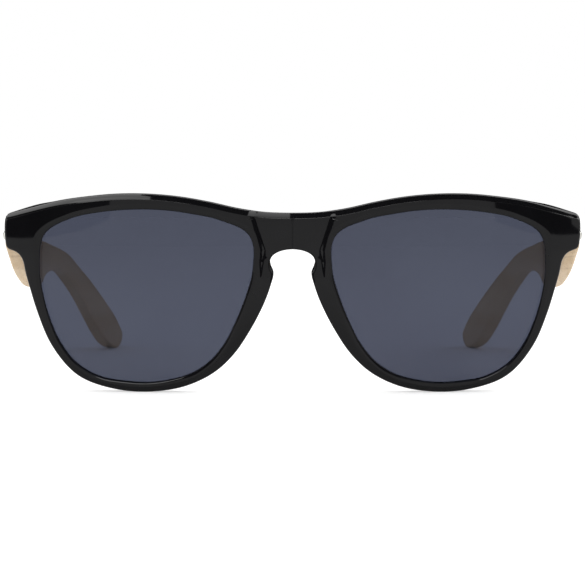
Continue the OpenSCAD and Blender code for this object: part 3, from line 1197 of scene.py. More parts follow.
    def brow_part(self, i: int) -> float:
        """How far station i belongs to the brow, whose upper edge slopes back."""
        return 0.0 if i > self.top_station else ease(-self.normals[i].y)

    def bevel_at(self, p: Vector) -> float:
        """Width of the bevel round the opening, which swings a little on the way round.

        Args:
            p: A place on the edge of the opening.

        Returns:
            The width.
        """
        q = p - self.eye
        swing = math.cos(math.atan2(q.y, q.x) - math.radians(self.bevel_wide))
        return self.bevel_w + self.bevel_swing * swing

    def inset(self, i: int, distance: float) -> Vector:
        """A station moved into the rim; those down the middle of the bridge stay.

        Args:
            i: The station's number.
            distance: How far it moves.

        Returns:
            The new place.
        """
        if i > self.top_station:
            return self.plan[i].copy()
        return self.plan[i] + self.normals[i] * distance

    # Depths

    def sphere_w(self, p: Vector, radius: float) -> float:
        """Depth of a sphere about the centre of the front's curve."""
        return self.ball_w - math.sqrt(radius**2 - (p.x - self.ball.x) ** 2 - (p.y - self.ball.y) ** 2)

    def outside_crease(self, p: Vector) -> Vector:
        """Finds whose depth a place takes: the bridge is flat between its softly rounded creases.

        Args:
            p: The place.

        Returns:
            The same place, or one at the crease.
        """
        crease = self.crease_x + self.crease_lean * (p.y - self.key_arch_z)
        over = p.x - crease
        return Vector((crease + 0.5 * (over + math.hypot(over, self.crease_soft)), p.y))

    def panel_edge(self, z: float) -> float:
        """Where the panel of the bridge ends at a height, and the facet beside it starts."""
        over = z - self.key_arch_z
        return self.crease_x + (self.crease_lean * over if over > 0 else -self.crease_flare * over)

    def face_w(self, p: Vector) -> float:
        """Depth of the face, whose bridge is a panel let in between two sloping facets.

        Args:
            p: A place on the face.

        Returns:
            The depth.
        """
        low = ease((p.y - self.panel_low) / (self.panel_full - self.panel_low))
        high = ease((p.y - self.key_arch_z) / (self.bridge_top_z - self.key_arch_z))
        shown = low * mix(1.0, self.panel_thin, high)
        t = (p.x - self.panel_edge(p.y)) / (self.panel_run * max(self.panel_least, shown))
        outside = (math.hypot(t, self.ramp_soft) - math.hypot(t - 1, self.ramp_soft) + 1) / 2
        return self.sphere_w(self.outside_crease(p), self.base_r) + self.panel_in * shown * (1 - outside)

    def butt_w(self, p: Vector) -> float:
        """Depth of the upright plane that the temples butt against."""
        turn = math.radians(self.tilt)
        return (self.butt_y + p.y * math.sin(turn)) / math.cos(turn)

    def block_part(self, p: Vector) -> float:
        """How far a station belongs to the end piece."""
        return ease((p.x - self.block_in) / self.block_run) * ease((p.y - self.block_low) / self.block_rise)

    def pad_part(self, p: Vector) -> float:
        """How far a station belongs to the nose pad.

        Args:
            p: The station.

        Returns:
            The share, from 0 to 1.
        """
        q = p - self.eye
        angle = math.degrees(math.atan2(q.y, q.x)) % 360
        return ease(1 - abs(angle - self.pad_mid) / self.pad_reach)

    def back_w(self, p: Vector, block: float, pad: float) -> float:
        """Depth of the back."""
        rim = self.sphere_w(self.outside_crease(p), self.base_r - self.rim_t)
        return mix(rim, self.butt_w(p), block) + pad * self.pad_d

    def crease_share(self, a: Vector, b: Vector) -> float:
        """Where a section meets the crease of the bridge.

        Args:
            a: The section's end at the opening.
            b: Its end at the outer edge.

        Returns:
            The fraction of the way from a to b, which is a half where the section is outside the crease.
        """
        run = b - a
        if b.x >= self.crease_x + self.crease_lean * (b.y - self.key_arch_z):
            return 0.5
        crease = self.crease_x + self.crease_lean * (a.y - self.key_arch_z)
        least = 0.15
        return clamp((crease - a.x) / (run.x - self.crease_lean * run.y), least, 1 - least)

    def leaned(self, p: Vector) -> Vector:
        """Leans a drawn point by the tilt and sets it in the frame of the part.

        Args:
            p: The point, as x, depth and z.

        Returns:
            The point in the frame of the part.
        """
        turn = math.radians(self.tilt)
        sin, cos = math.sin(turn), math.cos(turn)
        return Vector((p.x, p.y * cos - p.z * sin, p.y * sin + p.z * cos)) + self.shift

    # Pieces

    def build_frame(self, finish: bpy.types.Material) -> bpy.types.Object:
        """Models the moulded front on its CAD node's place.

        Args:
            finish: The material of the front.

        Returns:
            The front.
        """
        rings = [Section(self, i).points() for i in range(len(self.plan))]
        low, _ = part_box("front_frame")
        drawn = [self.leaned(p) for ring in rings for p in ring]
        self.shift = Vector((0, low.y / MM - min(p.y for p in drawn), low.z / MM - min(p.z for p in drawn)))
        loops = [[self.leaned(ring[k]) for ring in rings] for k in range(len(rings[0]))]
        piece = Bench.loft("front", loops, Ends.WRAPPED)
        Bench.delete_faces(piece, lambda face: all(abs(v.co.x) < Bench.MERGE for v in face.verts))
        Bench.mirror_half(piece)
        Bench.smooth(piece, self.sharp)
        Bench.dress(piece, finish)
        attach(piece, "front")
        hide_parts("front_frame")
        return piece

    def build_lens(self, side: Side, finish: bpy.types.Material) -> bpy.types.Object:
        """Models one lens: two curved faces, closed by an edge that sits in the groove.

        Args:
            side: The side of the lens.
            finish: The material of the lens.

        Returns:
            The lens.
        """
        outline = []
        for angle in range(0, 360, self.lens_step):
            outline.append(self.rim_point(angle, self.groove_d - 2 * self.seat_gap) - self.eye)
        front = self.base_r - self.lens_set
        back = front - self.lens_t
        circles = [(share, front) for share in self.lens_rings]
        circles.append((1.0, front - self.lens_t / 2))
        circles += [(share, back) for share in reversed(self.lens_rings)]
        loops = []
        for share, radius in circles:
            loops.append([])
            for q in outline:
                p = self.eye + q * share
                loops[-1].append(self.leaned(Vector((p.x * side.value, self.sphere_w(p, radius), p.y))))
        piece = Bench.loft(f"lens_{side.word}_piece", loops, Ends.FILLED)
        Bench.smooth(piece, self.lens_sharp)
        Bench.dress(piece, finish)
        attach(piece, "front")
        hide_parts(f"lens_{side.word}")
        return piece


@dataclass
class Section:
    """The closed section of the front at one station, in x, depth and z, before the front is leaned."""

    front: Front
    station: int
    # Shares of the way over the face and the back, up to the crease of the bridge and past it
    face_before: tuple[float, ...] = (0.25, 0.42, 0.56, 0.68, 0.78, 0.87, 0.94, 1.0)
    face_past: tuple[float, ...] = (0.06, 0.15, 0.3, 0.48, 0.66, 0.84)
    face_end: float = 0.95
    back_before: tuple[float, ...] = (0.2, 0.45, 0.7, 0.9, 1.0)
    back_past: tuple[float, ...] = (0.07, 0.25, 0.45, 0.7, 1.0)
    wall_shares: tuple[float, ...] = (0.35, 0.7)
    bevel_steps: int = 9
    corner_steps: int = 5
    wall_steps: int = 8
    back_steps: int = 4

    def __post_init__(self) -> None:
        """Works out the corners, and how far the section belongs to the brow, end piece and nose pad."""
        front = self.front
        self.rim = front.plan[self.station]
        looks_at = front.aim(self.rim)
        drawn = front.opening_point(looks_at, 0)
        steep = max(0.0, (drawn - front.eye).normalized().y) ** 2
        self.lip = front.opening_point(looks_at, -front.lip_cover * steep)
        self.back_lip = front.opening_point(looks_at, front.lip_open)
        self.groove = front.opening_point(looks_at, front.groove_d)
        self.brow = front.brow_part(self.station)
        self.block = front.block_part(self.rim)
        self.pad = front.pad_part(self.rim)
        self.edge = front.inset(self.station, mix(front.side_r, front.brow_w, self.brow))
        self.edge_d = mix(front.side_r, front.brow_d, self.brow)
        reach = (self.edge - self.lip).length
        bevel_w = min(front.bevel_at(self.lip), front.bevel_share * reach)
        self.bevel_edge = front.opening_point(looks_at, bevel_w)
        self.back_edge = self.lip.lerp(self.edge, min(front.lip_w, front.lip_share * reach) / reach)
        splay = Vector((front.pad_splay * self.pad, 0.0))
        self.outer = self.rim + splay
        self.inner = self.edge + splay

    @staticmethod
    def deep(p: Vector, depth: float) -> Vector:
        """A drawn place with its depth."""
        return Vector((p.x, depth, p.y))

    def face(self, t: float) -> Vector:
        """The point on the face at fraction t of the way from the bevel to the outer edge."""
        p = self.bevel_edge.lerp(self.edge, t)
        return self.deep(p, self.front.face_w(p))

    def bevel(self, t: float) -> Vector:
        """The point on the bevel at a fraction of the way from the face to the lip.

        Args:
            t: The fraction.

        Returns:
            The point, between a flat slope and a full rounding.
        """
        p = self.bevel_edge.lerp(self.lip, t)
        drop = mix(t, 1 - math.sqrt(1 - t * t), self.front.bevel_round)
        return self.deep(p, self.front.face_w(p) + self.front.bevel_d * drop)

    def wall(self, t: float) -> Vector:
        """The point on the outer edge at a fraction of the way from the face to the side.

        Args:
            t: The fraction.

        Returns:
            The point, between a rounding and the sloping brow.
        """
        p = self.edge.lerp(self.rim, t)
        drop = mix(1 - math.sqrt(1 - t * t), t * (2 + t) / 3, self.brow)
        return self.deep(p, self.front.face_w(p) + self.edge_d * drop)

    def back(self, t: float) -> Vector:
        """The point on the back at fraction t of the way from the outer edge to the back lip."""
        p = self.inner.lerp(self.back_edge, t)
        return self.deep(p, self.front.back_w(p, self.block, self.pad * (1 - self.front.pad_fade * t)))

    def on_sphere(self, p: Vector, inwards: float, ahead: float = 0.0) -> Vector:
        """The point at a drawn place on a sphere that lies inside the face's, or ahead of it."""
        return self.deep(p, self.front.sphere_w(p, self.front.base_r - inwards) - ahead)

    def front_points(self) -> Line:
        """The bevel and the face.

        Returns:
            Their points, from the lip to the outer edge.
        """
        share = self.front.crease_share(self.bevel_edge, self.edge)
        points = [self.bevel(math.cos(turn)) for turn in quarter_turn(self.bevel_steps)]
        points += [self.face(share * t) for t in self.face_before]
        points += [self.face(mix(share, 1.0, t)) for t in self.face_past]
        return points

    def side_points(self) -> Line:
        """The outer edge and the side.

        Returns:
            Their points, from the face to the back.
        """
        front = self.front
        wall = []
        for step, turn in enumerate(quarter_turn(self.wall_steps)):
            wall.append(self.wall(mix(math.sin(turn), step / self.wall_steps, self.brow)))
        points = rounded(self.face(self.face_end), wall[0], wall[1], front.corner_r, self.corner_steps)
        points += wall[1:]
        before = points[-1]
        behind = self.deep(self.outer, front.back_w(self.outer, self.block, self.pad) - front.back_r)
        points += [before.lerp(behind, t) for t in self.wall_shares]
        for turn in quarter_turn(self.back_steps):
            p = self.outer.lerp(self.inner, 1 - math.cos(turn))
            depth = front.back_w(p, self.block, self.pad) - front.back_r * (1 - math.sin(turn))
            points.append(self.deep(p, depth))
        return points

    def back_points(self) -> Line:
        """The back and its lip.

        Returns:
            Their points, from the side to the lens groove.
        """
        front = self.front
        share = front.crease_share(self.back_edge, self.inner) if self.station else 0.5
        points = [self.back((1 - share) * t) for t in self.back_before]
        points += [self.back(mix(1 - share, 1.0, t)) for t in self.back_past]
        points.append(self.on_sphere(self.back_lip, front.rim_t, front.lip_d))
        points.append(self.on_sphere(self.back_lip, front.groove_out))
        return points

    def points(self) -> Line:
        """Draws the whole section.

        Returns:
            Its points, from the lip over the face, the side and the back to the bottom of the lens groove.
        """
        front = self.front
        points = [self.on_sphere(self.lip, front.groove_in)]
        points += self.front_points()
        points += self.side_points()
        points += self.back_points()
        points += [self.on_sphere(self.groove, depth) for depth in (front.groove_out, front.groove_in)]
        return points


@dataclass
class Temple:
    """A bamboo temple on the wearer's left, in millimetres, and its mirror image."""

    thickness: float = 4.1
    ear_turn: float = 12.5
    corner_r: float = 1.2
    butt_gap: float = 0.2
    bend_start: float = 48.0
    bend_l: float = 50.0
    gap: float = 1.3
    tip_run: float = 2.2
    tip_slim: float = 0.45
    broken: float = 0.25
    corner_steps: int = 6
    sharp: float = 40.0
    # Distance behind the butt and height, of a point on the upper edge and of one on the lower edge
    pairs: tuple[tuple[float, float, float, float], ...] = (
        (-9, 46.8, -5, 40),
        (0, 45, 0, 36.4),
        (8, 43.4, 5.5, 33.5),
        (18, 41.3, 13, 30),
        (29, 39.4, 23, 26.9),
        (40, 38, 34, 24.8),
        (49, 37.1, 43, 24.6),
        (57, 36.4, 51, 26.6),
        (66, 35.3, 61, 27.7),
        (76, 34, 72, 27.7),
        (86, 31.9, 81, 26.6),
        (95, 28.3, 89, 23.4),
        (105, 23.9, 98, 18.6),
        (115, 19, 107, 12.4),
        (124, 14.3, 116, 6.2),
        (131, 10.3, 123, 2.3),
        (136, 6.6, 128.5, 0.6),
        (138.3, 4.4, 132.5, 0),
        (139.3, 2.7, 135.8, 0),
        (139.5, 1.5, 137.9, 0.2),
        (139.2, 0.8, 138.6, 0.4),
    )

    def turned_in(self, d: float) -> float:
        """How far the temple has turned in towards the head.

        Args:
            d: The distance behind the butt.

        Returns:
            The distance inwards.
        """
        along = clamp(d - self.bend_start, 0, self.bend_l)
        past = max(0.0, d - self.bend_start - self.bend_l)
        return math.tan(math.radians(self.ear_turn)) * (along**2 / (2 * self.bend_l) + past)

    def ring(self, pair: Vector, inner_x: float, butt_y: float, slim: float) -> Line:
        """The closed section between a point on the upper edge and one on the lower edge.

        Args:
            pair: Distance behind the butt and height of the upper point, then of the lower one.
            inner_x: Where the inner face lies.
            butt_y: Where the butt lies.
            slim: The share of the thickness that is left here.

        Returns:
            Points in the frame of the part.
        """
        up = Vector((pair[0], pair[1]))
        low = Vector((pair[2], pair[3]))
        rise = (up - low).normalized()
        thick = self.thickness * slim
        least = 0.04
        r = min(self.corner_r, (up - low).length / 2 - least, thick / 2 - least)
        steps = self.corner_steps
        points = []
        for corner in range(4):
            outward = corner in (0, 3)
            upward = corner < 2
            for step in range(steps + 1):
                turn = math.radians(90 * corner + 90 * step / steps)
                x = (thick - r if outward else r) + r * math.cos(turn) + self.thickness * (1 - slim) / 2
                at = (up - rise * r if upward else low + rise * r) + rise * r * math.sin(turn)
                points.append(Vector((inner_x - self.turned_in(at.x) + x, butt_y + at.x, max(0.0, at.y))))
        return points

    def loops(self, inner_x: float, butt_y: float) -> list[Line]:
        """The sections from the butt to the tip.

        Args:
            inner_x: Where the inner face lies.
            butt_y: Where the butt lies.

        Returns:
            The sections, with a slightly smaller one at the butt for its broken edge.
        """
        line = smooth_line([Vector(p) for p in self.pairs], self.gap)
        line[0] = line[0] + Vector((self.butt_gap, 0, self.butt_gap, 0))
        tip = max(p[0] for p in line)
        loops = []
        for pair in line:
            over = clamp((pair[0] - tip + self.tip_run) / self.tip_run)
            slim = self.tip_slim + (1 - self.tip_slim) * math.sqrt(1 - over**2)
            loops.append(self.ring(pair, inner_x, butt_y, slim))
        centre = sum(loops[0], Vector((0, 0, 0))) / len(loops[0])
        start = [p + (centre - p).normalized() * self.broken for p in loops[0]]
        loops[0] = [p + Vector((0, self.broken, 0)) for p in loops[0]]
        return [start] + loops

    def build(self, finish: bpy.types.Material) -> list[bpy.types.Object]:
        """Models both temples on the places of their CAD nodes.

        Args:
            finish: The material of the temples.

        Returns:
            The left and the right temple.
        """
        low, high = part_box("temple_left")
        inner_x = high.x / MM - self.thickness
        butt_y = low.y / MM - self.butt_gap
        left = Bench.loft("temple_piece_left", self.loops(inner_x, butt_y), Ends.FILLED)
        Bench.smooth(left, self.sharp)
        Bench.dress(left, finish)
        right = Bench.other_side(left, "temple_piece_right")
        for piece, side in ((left, Side.LEFT), (right, Side.RIGHT)):
            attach(piece, side.temple_body)
            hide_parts(f"temple_{side.word}")
        return [left, right]


# A finished piece, its node but for the side, whether it turns with the temple, its finish and its slot
Fitting = tuple[bpy.types.Object, str, bool, bpy.types.Material, str]


@dataclass
class Hinge:
    """The barrel hinge and its rivets on the wearer's left, in millimetres, and their mirror images."""

    barrel_d: float = 2.8
    barrel_h: float = 5.4
    knuckles: int = 5
    knuckle_gap: float = 0.08
    knuckle_edge: float = 0.1
    knuckle_steps: int = 28
    axis_behind: float = 1.8
    flange_in: float = 2.6
    flange_t: float = 0.8
    flange_edge: float = 0.1
    plate_t: float = 1.0
    plate_h: float = 4.2
    plate_set: float = 0.2
    plate_edge: float = 0.14
    proud: float = 0.06
    head_d: float = 2.1
    head_h: float = 0.5
    head_edge: float = 0.05
    screw_steps: int = 48
    pin_d: float = 1.3
    slot_w: float = 0.4
    slot_d: float = 0.25
    rivet_d: float = 2.8
    rivet_rise: float = 1.2
    rivet_rim: float = 0.06
    # How far inside the rim, and how far in or out of the wood, the underside of the head runs
    rivet_under: tuple[Pair, ...] = ((0.25, -0.15), (0.02, -0.02))
    rivet_steps: int = 40
    dome_steps: int = 10
    dome_top: float = 0.1
    shank_end: float = -0.2
    shank_d: float = 1.3
    foot_d: float = 2.0
    foot_h: float = 0.35
    foot_edge: float = 0.12
    foot_gap: float = 0.01
    # Edges sharper than this angle in degrees stay sharp
    sharp: float = 35.0
    joints: Sequence[dict] = ()

    def __post_init__(self) -> None:
        """Reads the places of the axis, the butt and the plate from the CAD nodes."""
        joint = next(j for j in self.joints if j["name"] == "temple_left_fold")
        self.axis = Vector(joint["pos_m"]) / MM
        self.low = self.axis.z - self.barrel_h / 2
        self.knuckle_h = (self.barrel_h - (self.knuckles - 1) * self.knuckle_gap) / self.knuckles
        _, plate_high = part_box("temple_hinge_left")
        self.plate_back = plate_high.y / MM
        self.plate_out = plate_high.x / MM
        self.plate_in = self.plate_out - self.plate_t
        self.butt_y = self.axis.y - self.axis_behind

    @staticmethod
    def plate(name: str, low: Vector, high: Vector, edge: float) -> bpy.types.Object:
        """A plate with rounded edges.

        Args:
            name: The piece's name.
            low: Its lowest corner.
            high: Its highest corner.
            edge: The width of the rounding.

        Returns:
            The plate.
        """
        outline = [
            Vector((low.x, low.y)),
            Vector((high.x, low.y)),
            Vector((high.x, high.y)),
            Vector((low.x, high.y)),
        ]
        piece = Bench.prism(name, outline, low.z, high.z)
        Bench.bevel(piece, edge, segments=3)
        return piece

    def knuckle(self, number: int, reach: Vector) -> bpy.types.Object:
        """One knuckle with the tang that carries it.

        Args:
            number: Its place in the barrel, from below.
            reach: The way from the axis to the leaf, as long as the tang.

        Returns:
            The knuckle.
        """
        low = self.low + number * (self.knuckle_h + self.knuckle_gap)
        radius = self.barrel_d / 2
        way = reach.normalized()
        side = Vector((-way.y, way.x))
        centre = Vector((self.axis.x, self.axis.y))
        root = centre + reach
        outline = [root - side * radius, root + side * radius]
        for step in range(self.knuckle_steps + 1):
            turn = math.pi * step / self.knuckle_steps
            outline.append(centre + side * radius * math.cos(turn) - way * radius * math.sin(turn))
        piece = Bench.prism(f"knuckle_{number}", outline, low, low + self.knuckle_h)
        Bench.bevel(piece, self.knuckle_edge, segments=3, angle=40)
        return piece

    def front_leaf(self) -> bpy.types.Object:
        """Models the leaf in the end piece: a flange and the first, third and fifth knuckle.

        Returns:
            The leaf.
        """
        x = self.axis.x
        flange = self.plate(
            "flange",
            Vector((x - self.flange_in, self.butt_y - self.flange_t, self.low)),
            Vector((x + self.barrel_d / 2, self.butt_y + self.proud, self.low + self.barrel_h)),
            self.flange_edge,
        )
        reach = Vector((0.0, self.butt_y - self.axis.y))
        knuckles = [self.knuckle(number, reach) for number in range(0, self.knuckles, 2)]
        return Bench.join([flange, *knuckles], "hinge_front_left")

    def temple_leaf(self) -> bpy.types.Object:
        """Models the leaf let into the temple: a plate and the second and fourth knuckle.

        Returns:
            The leaf.
        """
        half = self.plate_h / 2
        plate = self.plate(
            "plate",
            Vector((self.plate_in - self.proud, self.butt_y + self.plate_set, self.axis.z - half)),
            Vector((self.plate_out, self.plate_back, self.axis.z + half)),
            self.plate_edge,
        )
        reach = Vector((self.plate_in - self.axis.x + self.plate_t / 2, 0.0))
        knuckles = [self.knuckle(number, reach) for number in range(1, self.knuckles, 2)]
        return Bench.join([plate, *knuckles], "hinge_temple_left")

    @staticmethod
    def turned(
        name: str,
        profile: Sequence[Pair],
        count: int,
        place: Callable[[float, float, float], Vector],
    ) -> bpy.types.Object:
        """Lofts a turned piece from circle to circle.

        Args:
            name: The piece's name.
            profile: Radius of each circle, and where it lies along the axis.
            count: The number of points round each.
            place: Gives the point at two distances across the axis and one along it.

        Returns:
            The turned piece.
        """
        turns = [math.tau * k / count for k in range(count)]
        loops = []
        for radius, along in profile:
            loops.append([place(radius * math.cos(turn), radius * math.sin(turn), along) for turn in turns])
        return Bench.loft(name, loops, Ends.FILLED)

    def screw(self) -> bpy.types.Object:
        """Models the slotted screw: a shank, and a head with its slot pressed down.

        Returns:
            The screw.
        """
        pin, head = self.pin_d / 2, self.head_d / 2
        neck = self.barrel_h - self.head_h
        piece = self.turned(
            "screw_left",
            [(pin, 0.0), (pin, neck), (head, neck), (head, self.barrel_h)],
            self.screw_steps,
            lambda u, v, along: Vector((self.axis.x + u, self.axis.y + v, self.low + along)),
        )
        self.cut_slot(piece, self.low + self.barrel_h)
        Bench.bevel(piece, self.head_edge, segments=2, angle=50)
        return piece

    @staticmethod
    def on_top(face: bmesh.types.BMFace, top: float) -> bool:
        """Whether a face looks up at a height in millimetres."""
        level, slack = 0.9, 0.01
        return face.normal.z > level and face.calc_center_median().z > (top - slack) * MM

    def cut_slot(self, piece: bpy.types.Object, top: float) -> None:
        """Presses the slot into the screw's head.

        Args:
            piece: The screw.
            top: The height of the top of its head.
        """
        Bench.take(piece)
        bpy.ops.object.mode_set(mode="EDIT")
        bpy.ops.mesh.select_mode(type="FACE")
        for way in (-1, 1):
            Bench.pick_faces(piece, lambda f: self.on_top(f, top))
            place = Vector((self.axis.x, self.axis.y + way * self.slot_w / 2, top)) * MM
            bpy.ops.mesh.bisect(plane_co=place, plane_no=(0, 1, 0))
        middle = self.axis.y * MM
        slack = 1.01
        reach = self.slot_w / 2 * MM * slack
        Bench.pick_faces(
            piece, lambda f: self.on_top(f, top) and all(abs(v.co.y - middle) < reach for v in f.verts)
        )
        bpy.ops.mesh.extrude_region_move(TRANSFORM_OT_translate={"value": (0, 0, -self.slot_d * MM)})
        bpy.ops.mesh.select_mode(type="VERT")
        bpy.ops.object.mode_set(mode="OBJECT")

    def rivet(self, name: str, outer_x: float, y: float) -> bpy.types.Object:
        """Models a rivet with a domed head outside and a flat foot on the leaf.

        Args:
            name: The piece's name.
            outer_x: Where the outer face of the temple lies.
            y: Where the rivet stands along the temple.

        Returns:
            The rivet.
        """
        head, foot, shank = self.rivet_d / 2, self.foot_d / 2, self.shank_d / 2
        inner = self.plate_in - outer_x
        sole = inner - self.foot_h
        edge = self.foot_edge
        profile = [(edge, sole), (foot - edge, sole), (foot, sole + edge), (foot, inner - self.foot_gap)]
        profile += [(shank, inner), (shank, self.shank_end)]
        profile += [(head - inside, along) for inside, along in self.rivet_under]
        profile.append((head, self.rivet_rim))
        for turn in quarter_turn(self.dome_steps)[1:-1]:
            rise = (self.rivet_rise - self.rivet_rim) * math.sin(turn)
            profile.append((head * math.cos(turn), self.rivet_rim + rise))
        profile.append((self.dome_top, self.rivet_rise))
        return self.turned(
            name,
            profile,
            self.rivet_steps,
            lambda u, v, along: Vector((outer_x + along, y + u, self.axis.z + v)),
        )

    def build(self) -> list[bpy.types.Object]:
        """Models both hinges, their screws and their rivets.

        Returns:
            All their pieces.
        """
        nickel, bright, steel = (metal.material() for metal in HingeMetal)
        _, temple_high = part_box("temple_left")
        outer_x = temple_high.x / MM
        made: list[Fitting] = [
            (self.front_leaf(), "front_hinge", False, nickel, "hinge_metal"),
            (self.temple_leaf(), "temple_hinge", True, nickel, "hinge_metal"),
            (self.screw(), "hinge_screw", False, steel, "screw_metal"),
        ]
        for place in ("front", "rear"):
            low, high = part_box(f"rivet_{place}_left")
            stud = self.rivet(f"stud_{place}_left", outer_x, (low.y + high.y) / 2 / MM)
            made.append((stud, f"rivet_{place}", True, bright, "rivet_metal"))
        pieces = []
        for left, node, moves, finish, slot in made:
            Bench.smooth(left, self.sharp)
            Bench.dress(left, finish)
            right = Bench.other_side(left, left.name.replace("left", "right"))
            for piece, side in ((left, Side.LEFT), (right, Side.RIGHT)):
                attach(piece, side.temple_body if moves else "front")
                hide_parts(f"{node}_{side.word}")
                pieces.append(piece)
        return pieces


# The studio


def looking(azimuth: float, elevation: float) -> Vector:
    """The direction at an azimuth and an elevation in degrees."""
    turn, rise = math.radians(azimuth), math.radians(elevation)
    return Vector((math.sin(turn) * math.cos(rise), -math.cos(turn) * math.cos(rise), math.sin(rise)))


@dataclass(frozen=True)
class Lamp:
    """A soft light that looks at the glasses; lengths in millimetres, power in watts."""

    name: str
    place: Place
    size: Pair
    power: float

    def hang(self, aim: float) -> None:
        """Hangs the light.

        Args:
            aim: The height of the point in the middle that it looks at.
        """
        light = bpy.data.lights.new(self.name, "AREA")
        light.shape = "RECTANGLE"
        light.size = self.size[0] * MM
        light.size_y = self.size[1] * MM
        light.energy = self.power
        lamp = bpy.data.objects.new(self.name, light)
        bpy.context.scene.collection.objects.link(lamp)
        lamp.location = Vector(self.place) * MM
        lamp.rotation_euler = (Vector((0, 0, aim * MM)) - lamp.location).to_track_quat("-Z", "Y").to_euler()


@dataclass(frozen=True)
class Card:
    """A card that only reflections see: black, to paint a dark reflection, or glowing, to paint a highlight;
    it lights and shades nothing.
    """

    name: str
    outline: tuple[Pair, ...]
    glow: float = 0.0

    def corners(self) -> Line:
        """The corners in millimetres, on a card that stands upright in the middle of the glasses."""
        return [Vector((0, y, z)) for y, z in self.outline]

    def stand(self) -> None:
        """Stands the card where only reflections see it."""
        corners = self.corners()
        Bench.clear()
        bpy.ops.mesh.primitive_circle_add(vertices=len(corners), radius=MM, fill_type="NGON")
        card = Bench.named(self.name)
        for vertex, corner in zip(card.data.vertices, corners):
            vertex.co = corner * MM
        Bench.dress(card, CardFace(self.name, self.glow).material())
        card.visible_camera = False
        card.visible_diffuse = False
        card.visible_shadow = False
        card.visible_transmission = False


@dataclass(frozen=True)
class LevelCard(Card):
    """A card that hangs level; its outline is in x and y."""

    height: float = 250.0

    def corners(self) -> Line:
        """The corners in millimetres."""
        return [Vector((x, y, self.height)) for x, y in self.outline]


@dataclass(frozen=True)
class FacingCard(Card):
    """A card that faces the glasses; its outline and middle are azimuths and elevations in degrees.

    The azimuth goes from straight ahead towards the wearer's left.
    """

    middle: Pair = (0.0, 0.0)
    away: float = 700.0
    eye: Place = (0.0, -70.0, 30.0)

    def corners(self) -> Line:
        """Finds where the card meets the ways of looking.

        Returns:
            The corners in millimetres.
        """
        facing = looking(*self.middle)
        ways = [looking(*corner) for corner in self.outline]
        return [Vector(self.eye) + way * self.away / way.dot(facing) for way in ways]


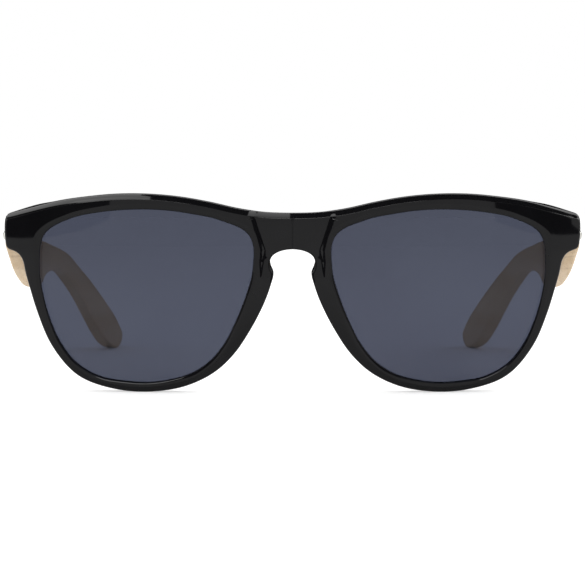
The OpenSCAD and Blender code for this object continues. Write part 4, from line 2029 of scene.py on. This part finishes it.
@dataclass(frozen=True)
class Studio:
    """White paper and surroundings, soft lights, cards that the gloss picks up, and the camera."""

    target: Place = (0.0, -76.92, 25.72)
    distance: float = 500.0
    elevation: float = 3.0
    focal: float = 123.08
    sensor: float = 36.0
    nearest: float = 10.0
    lamp_aim: float = 20.0
    floor_size: float = 6000.0
    floor_drop: float = 0.02
    sky: float = 0.93
    lamps: tuple[Lamp, ...] = (
        Lamp("top_light", (-350, 150, 1000), (1000, 600), 0.9),
        Lamp("left_light", (900, 60, 260), (600, 600), 0.8),
        Lamp("right_light", (-900, 60, 260), (600, 600), 0.8),
        Lamp("side_light", (650, 250, 600), (160, 400), 1.0),
    )
    # Dark cards for the two sides, the nose, the back and the brow, then two that glow above the brow; all
    # are painted reflections: the dark ones paint dark patches and the glowing ones paint highlights in the
    # gloss
    cards: tuple[Card, ...] = (
        FacingCard(
            "flag_left",
            ((-29.5, 9), (-40, 5), (-52, 2.5), (-62, 2), (-70, 2), (-70, 50), (-29.5, 50)),
            middle=(-50, 22),
        ),
        FacingCard(
            "flag_right",
            ((37, 8), (50, 4), (62, 3), (70.5, 3), (66.5, 6), (65.5, 50), (37, 50)),
            middle=(52, 20),
        ),
        Card("flag_nose", ((-76.4, 26), (-83, 26), (-83, 60), (-76.4, 60))),
        FacingCard("flag_low", ((120, -3), (240, -3), (240, 12), (120, 12)), middle=(180, 6)),
        LevelCard("flag_over", ((-50, -60), (230, -60), (230, 205), (-62, 205), (-62, 115), (-50, 95))),
        LevelCard(
            "flag_over_left",
            ((-350, -60), (-140, -60), (-140, 70), (-160, 95), (-200, 135), (-230, 160), (-350, 160)),
        ),
        # A small card that glows only in reflections: a painted highlight, not a lamp
        LevelCard("gleam", ((-7.2, -68), (-0.6, -68), (-0.6, -48), (-7.2, -48)), glow=1.0, height=60.0),
        # A large card that glows only in reflections: a painted highlight, not a lamp, which lights nothing
        LevelCard("painted_highlight_box", ((-400, -440), (60, -440), (60, -60), (-400, -60)), glow=9.0, height=600.0),
    )

    def build(self) -> None:
        """Sets up the paper, the world, the lights, the cards and the camera."""
        scene = bpy.context.scene
        scene.view_settings.view_transform = "Standard"
        self.paper()
        self.world()
        for lamp in self.lamps:
            lamp.hang(self.lamp_aim)
        for card in self.cards:
            card.stand()
        self.camera()

    def paper(self) -> None:
        """Lays the white paper on which the glasses stand."""
        Bench.clear()
        bpy.ops.mesh.primitive_plane_add(size=self.floor_size * MM, location=(0, 0, -self.floor_drop * MM))
        floor = Bench.named("paper")
        bpy.ops.object.transform_apply(location=True, rotation=True, scale=True)
        Bench.dress(floor, Paper().material())

    def world(self) -> None:
        """Makes the white surroundings, a little dimmer as a light than as a backdrop."""
        world = bpy.data.worlds.new("studio")
        bpy.context.scene.world = world
        world.use_nodes = True
        nodes = Tree(world.node_tree)
        background = nodes.tree.nodes["Background"]
        background.inputs["Color"].default_value = WHITE
        path = nodes.add("ShaderNodeLightPath").outputs
        shown = nodes.sum("ADD", path["Is Camera Ray"], path["Is Glossy Ray"])
        seen = nodes.sum("ADD", shown, path["Is Transmission Ray"])
        nodes.join(nodes.span(seen, WHOLE, (self.sky, 1.0)), background.inputs["Strength"])

    def camera(self) -> None:
        """Stands the camera at the photograph's angle."""
        rise = math.radians(self.elevation)
        target = Vector(self.target) * MM
        away = Vector((0, -math.cos(rise), math.sin(rise)))
        camera = bpy.data.cameras.new("camera")
        camera.sensor_width = self.sensor
        camera.lens = self.focal
        camera.clip_start = self.nearest * MM
        eye = bpy.data.objects.new("camera", camera)
        bpy.context.scene.collection.objects.link(eye)
        eye.location = target + away * self.distance * MM
        eye.rotation_euler = (-away).to_track_quat("-Z", "Y").to_euler()
        bpy.context.scene.camera = eye


def main() -> None:
    """Builds the pieces in order, then the studio."""
    logging.basicConfig(level=logging.INFO, format="%(name)s: %(message)s")
    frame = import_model()
    front = Front()
    lens_finish = SmokeLens().material()
    pieces = [front.build_frame(PolishedBlack().material())]
    for side in Side:
        pieces.append(front.build_lens(side, lens_finish))
    pieces += Temple().build(Bamboo().material())
    pieces += Hinge(joints=frame["joints"]).build()
    for piece in pieces:
        LOG.info("%s: %d faces", piece.name, len(piece.data.polygons))
    Studio().build()


if __name__ == "__main__":
    main()
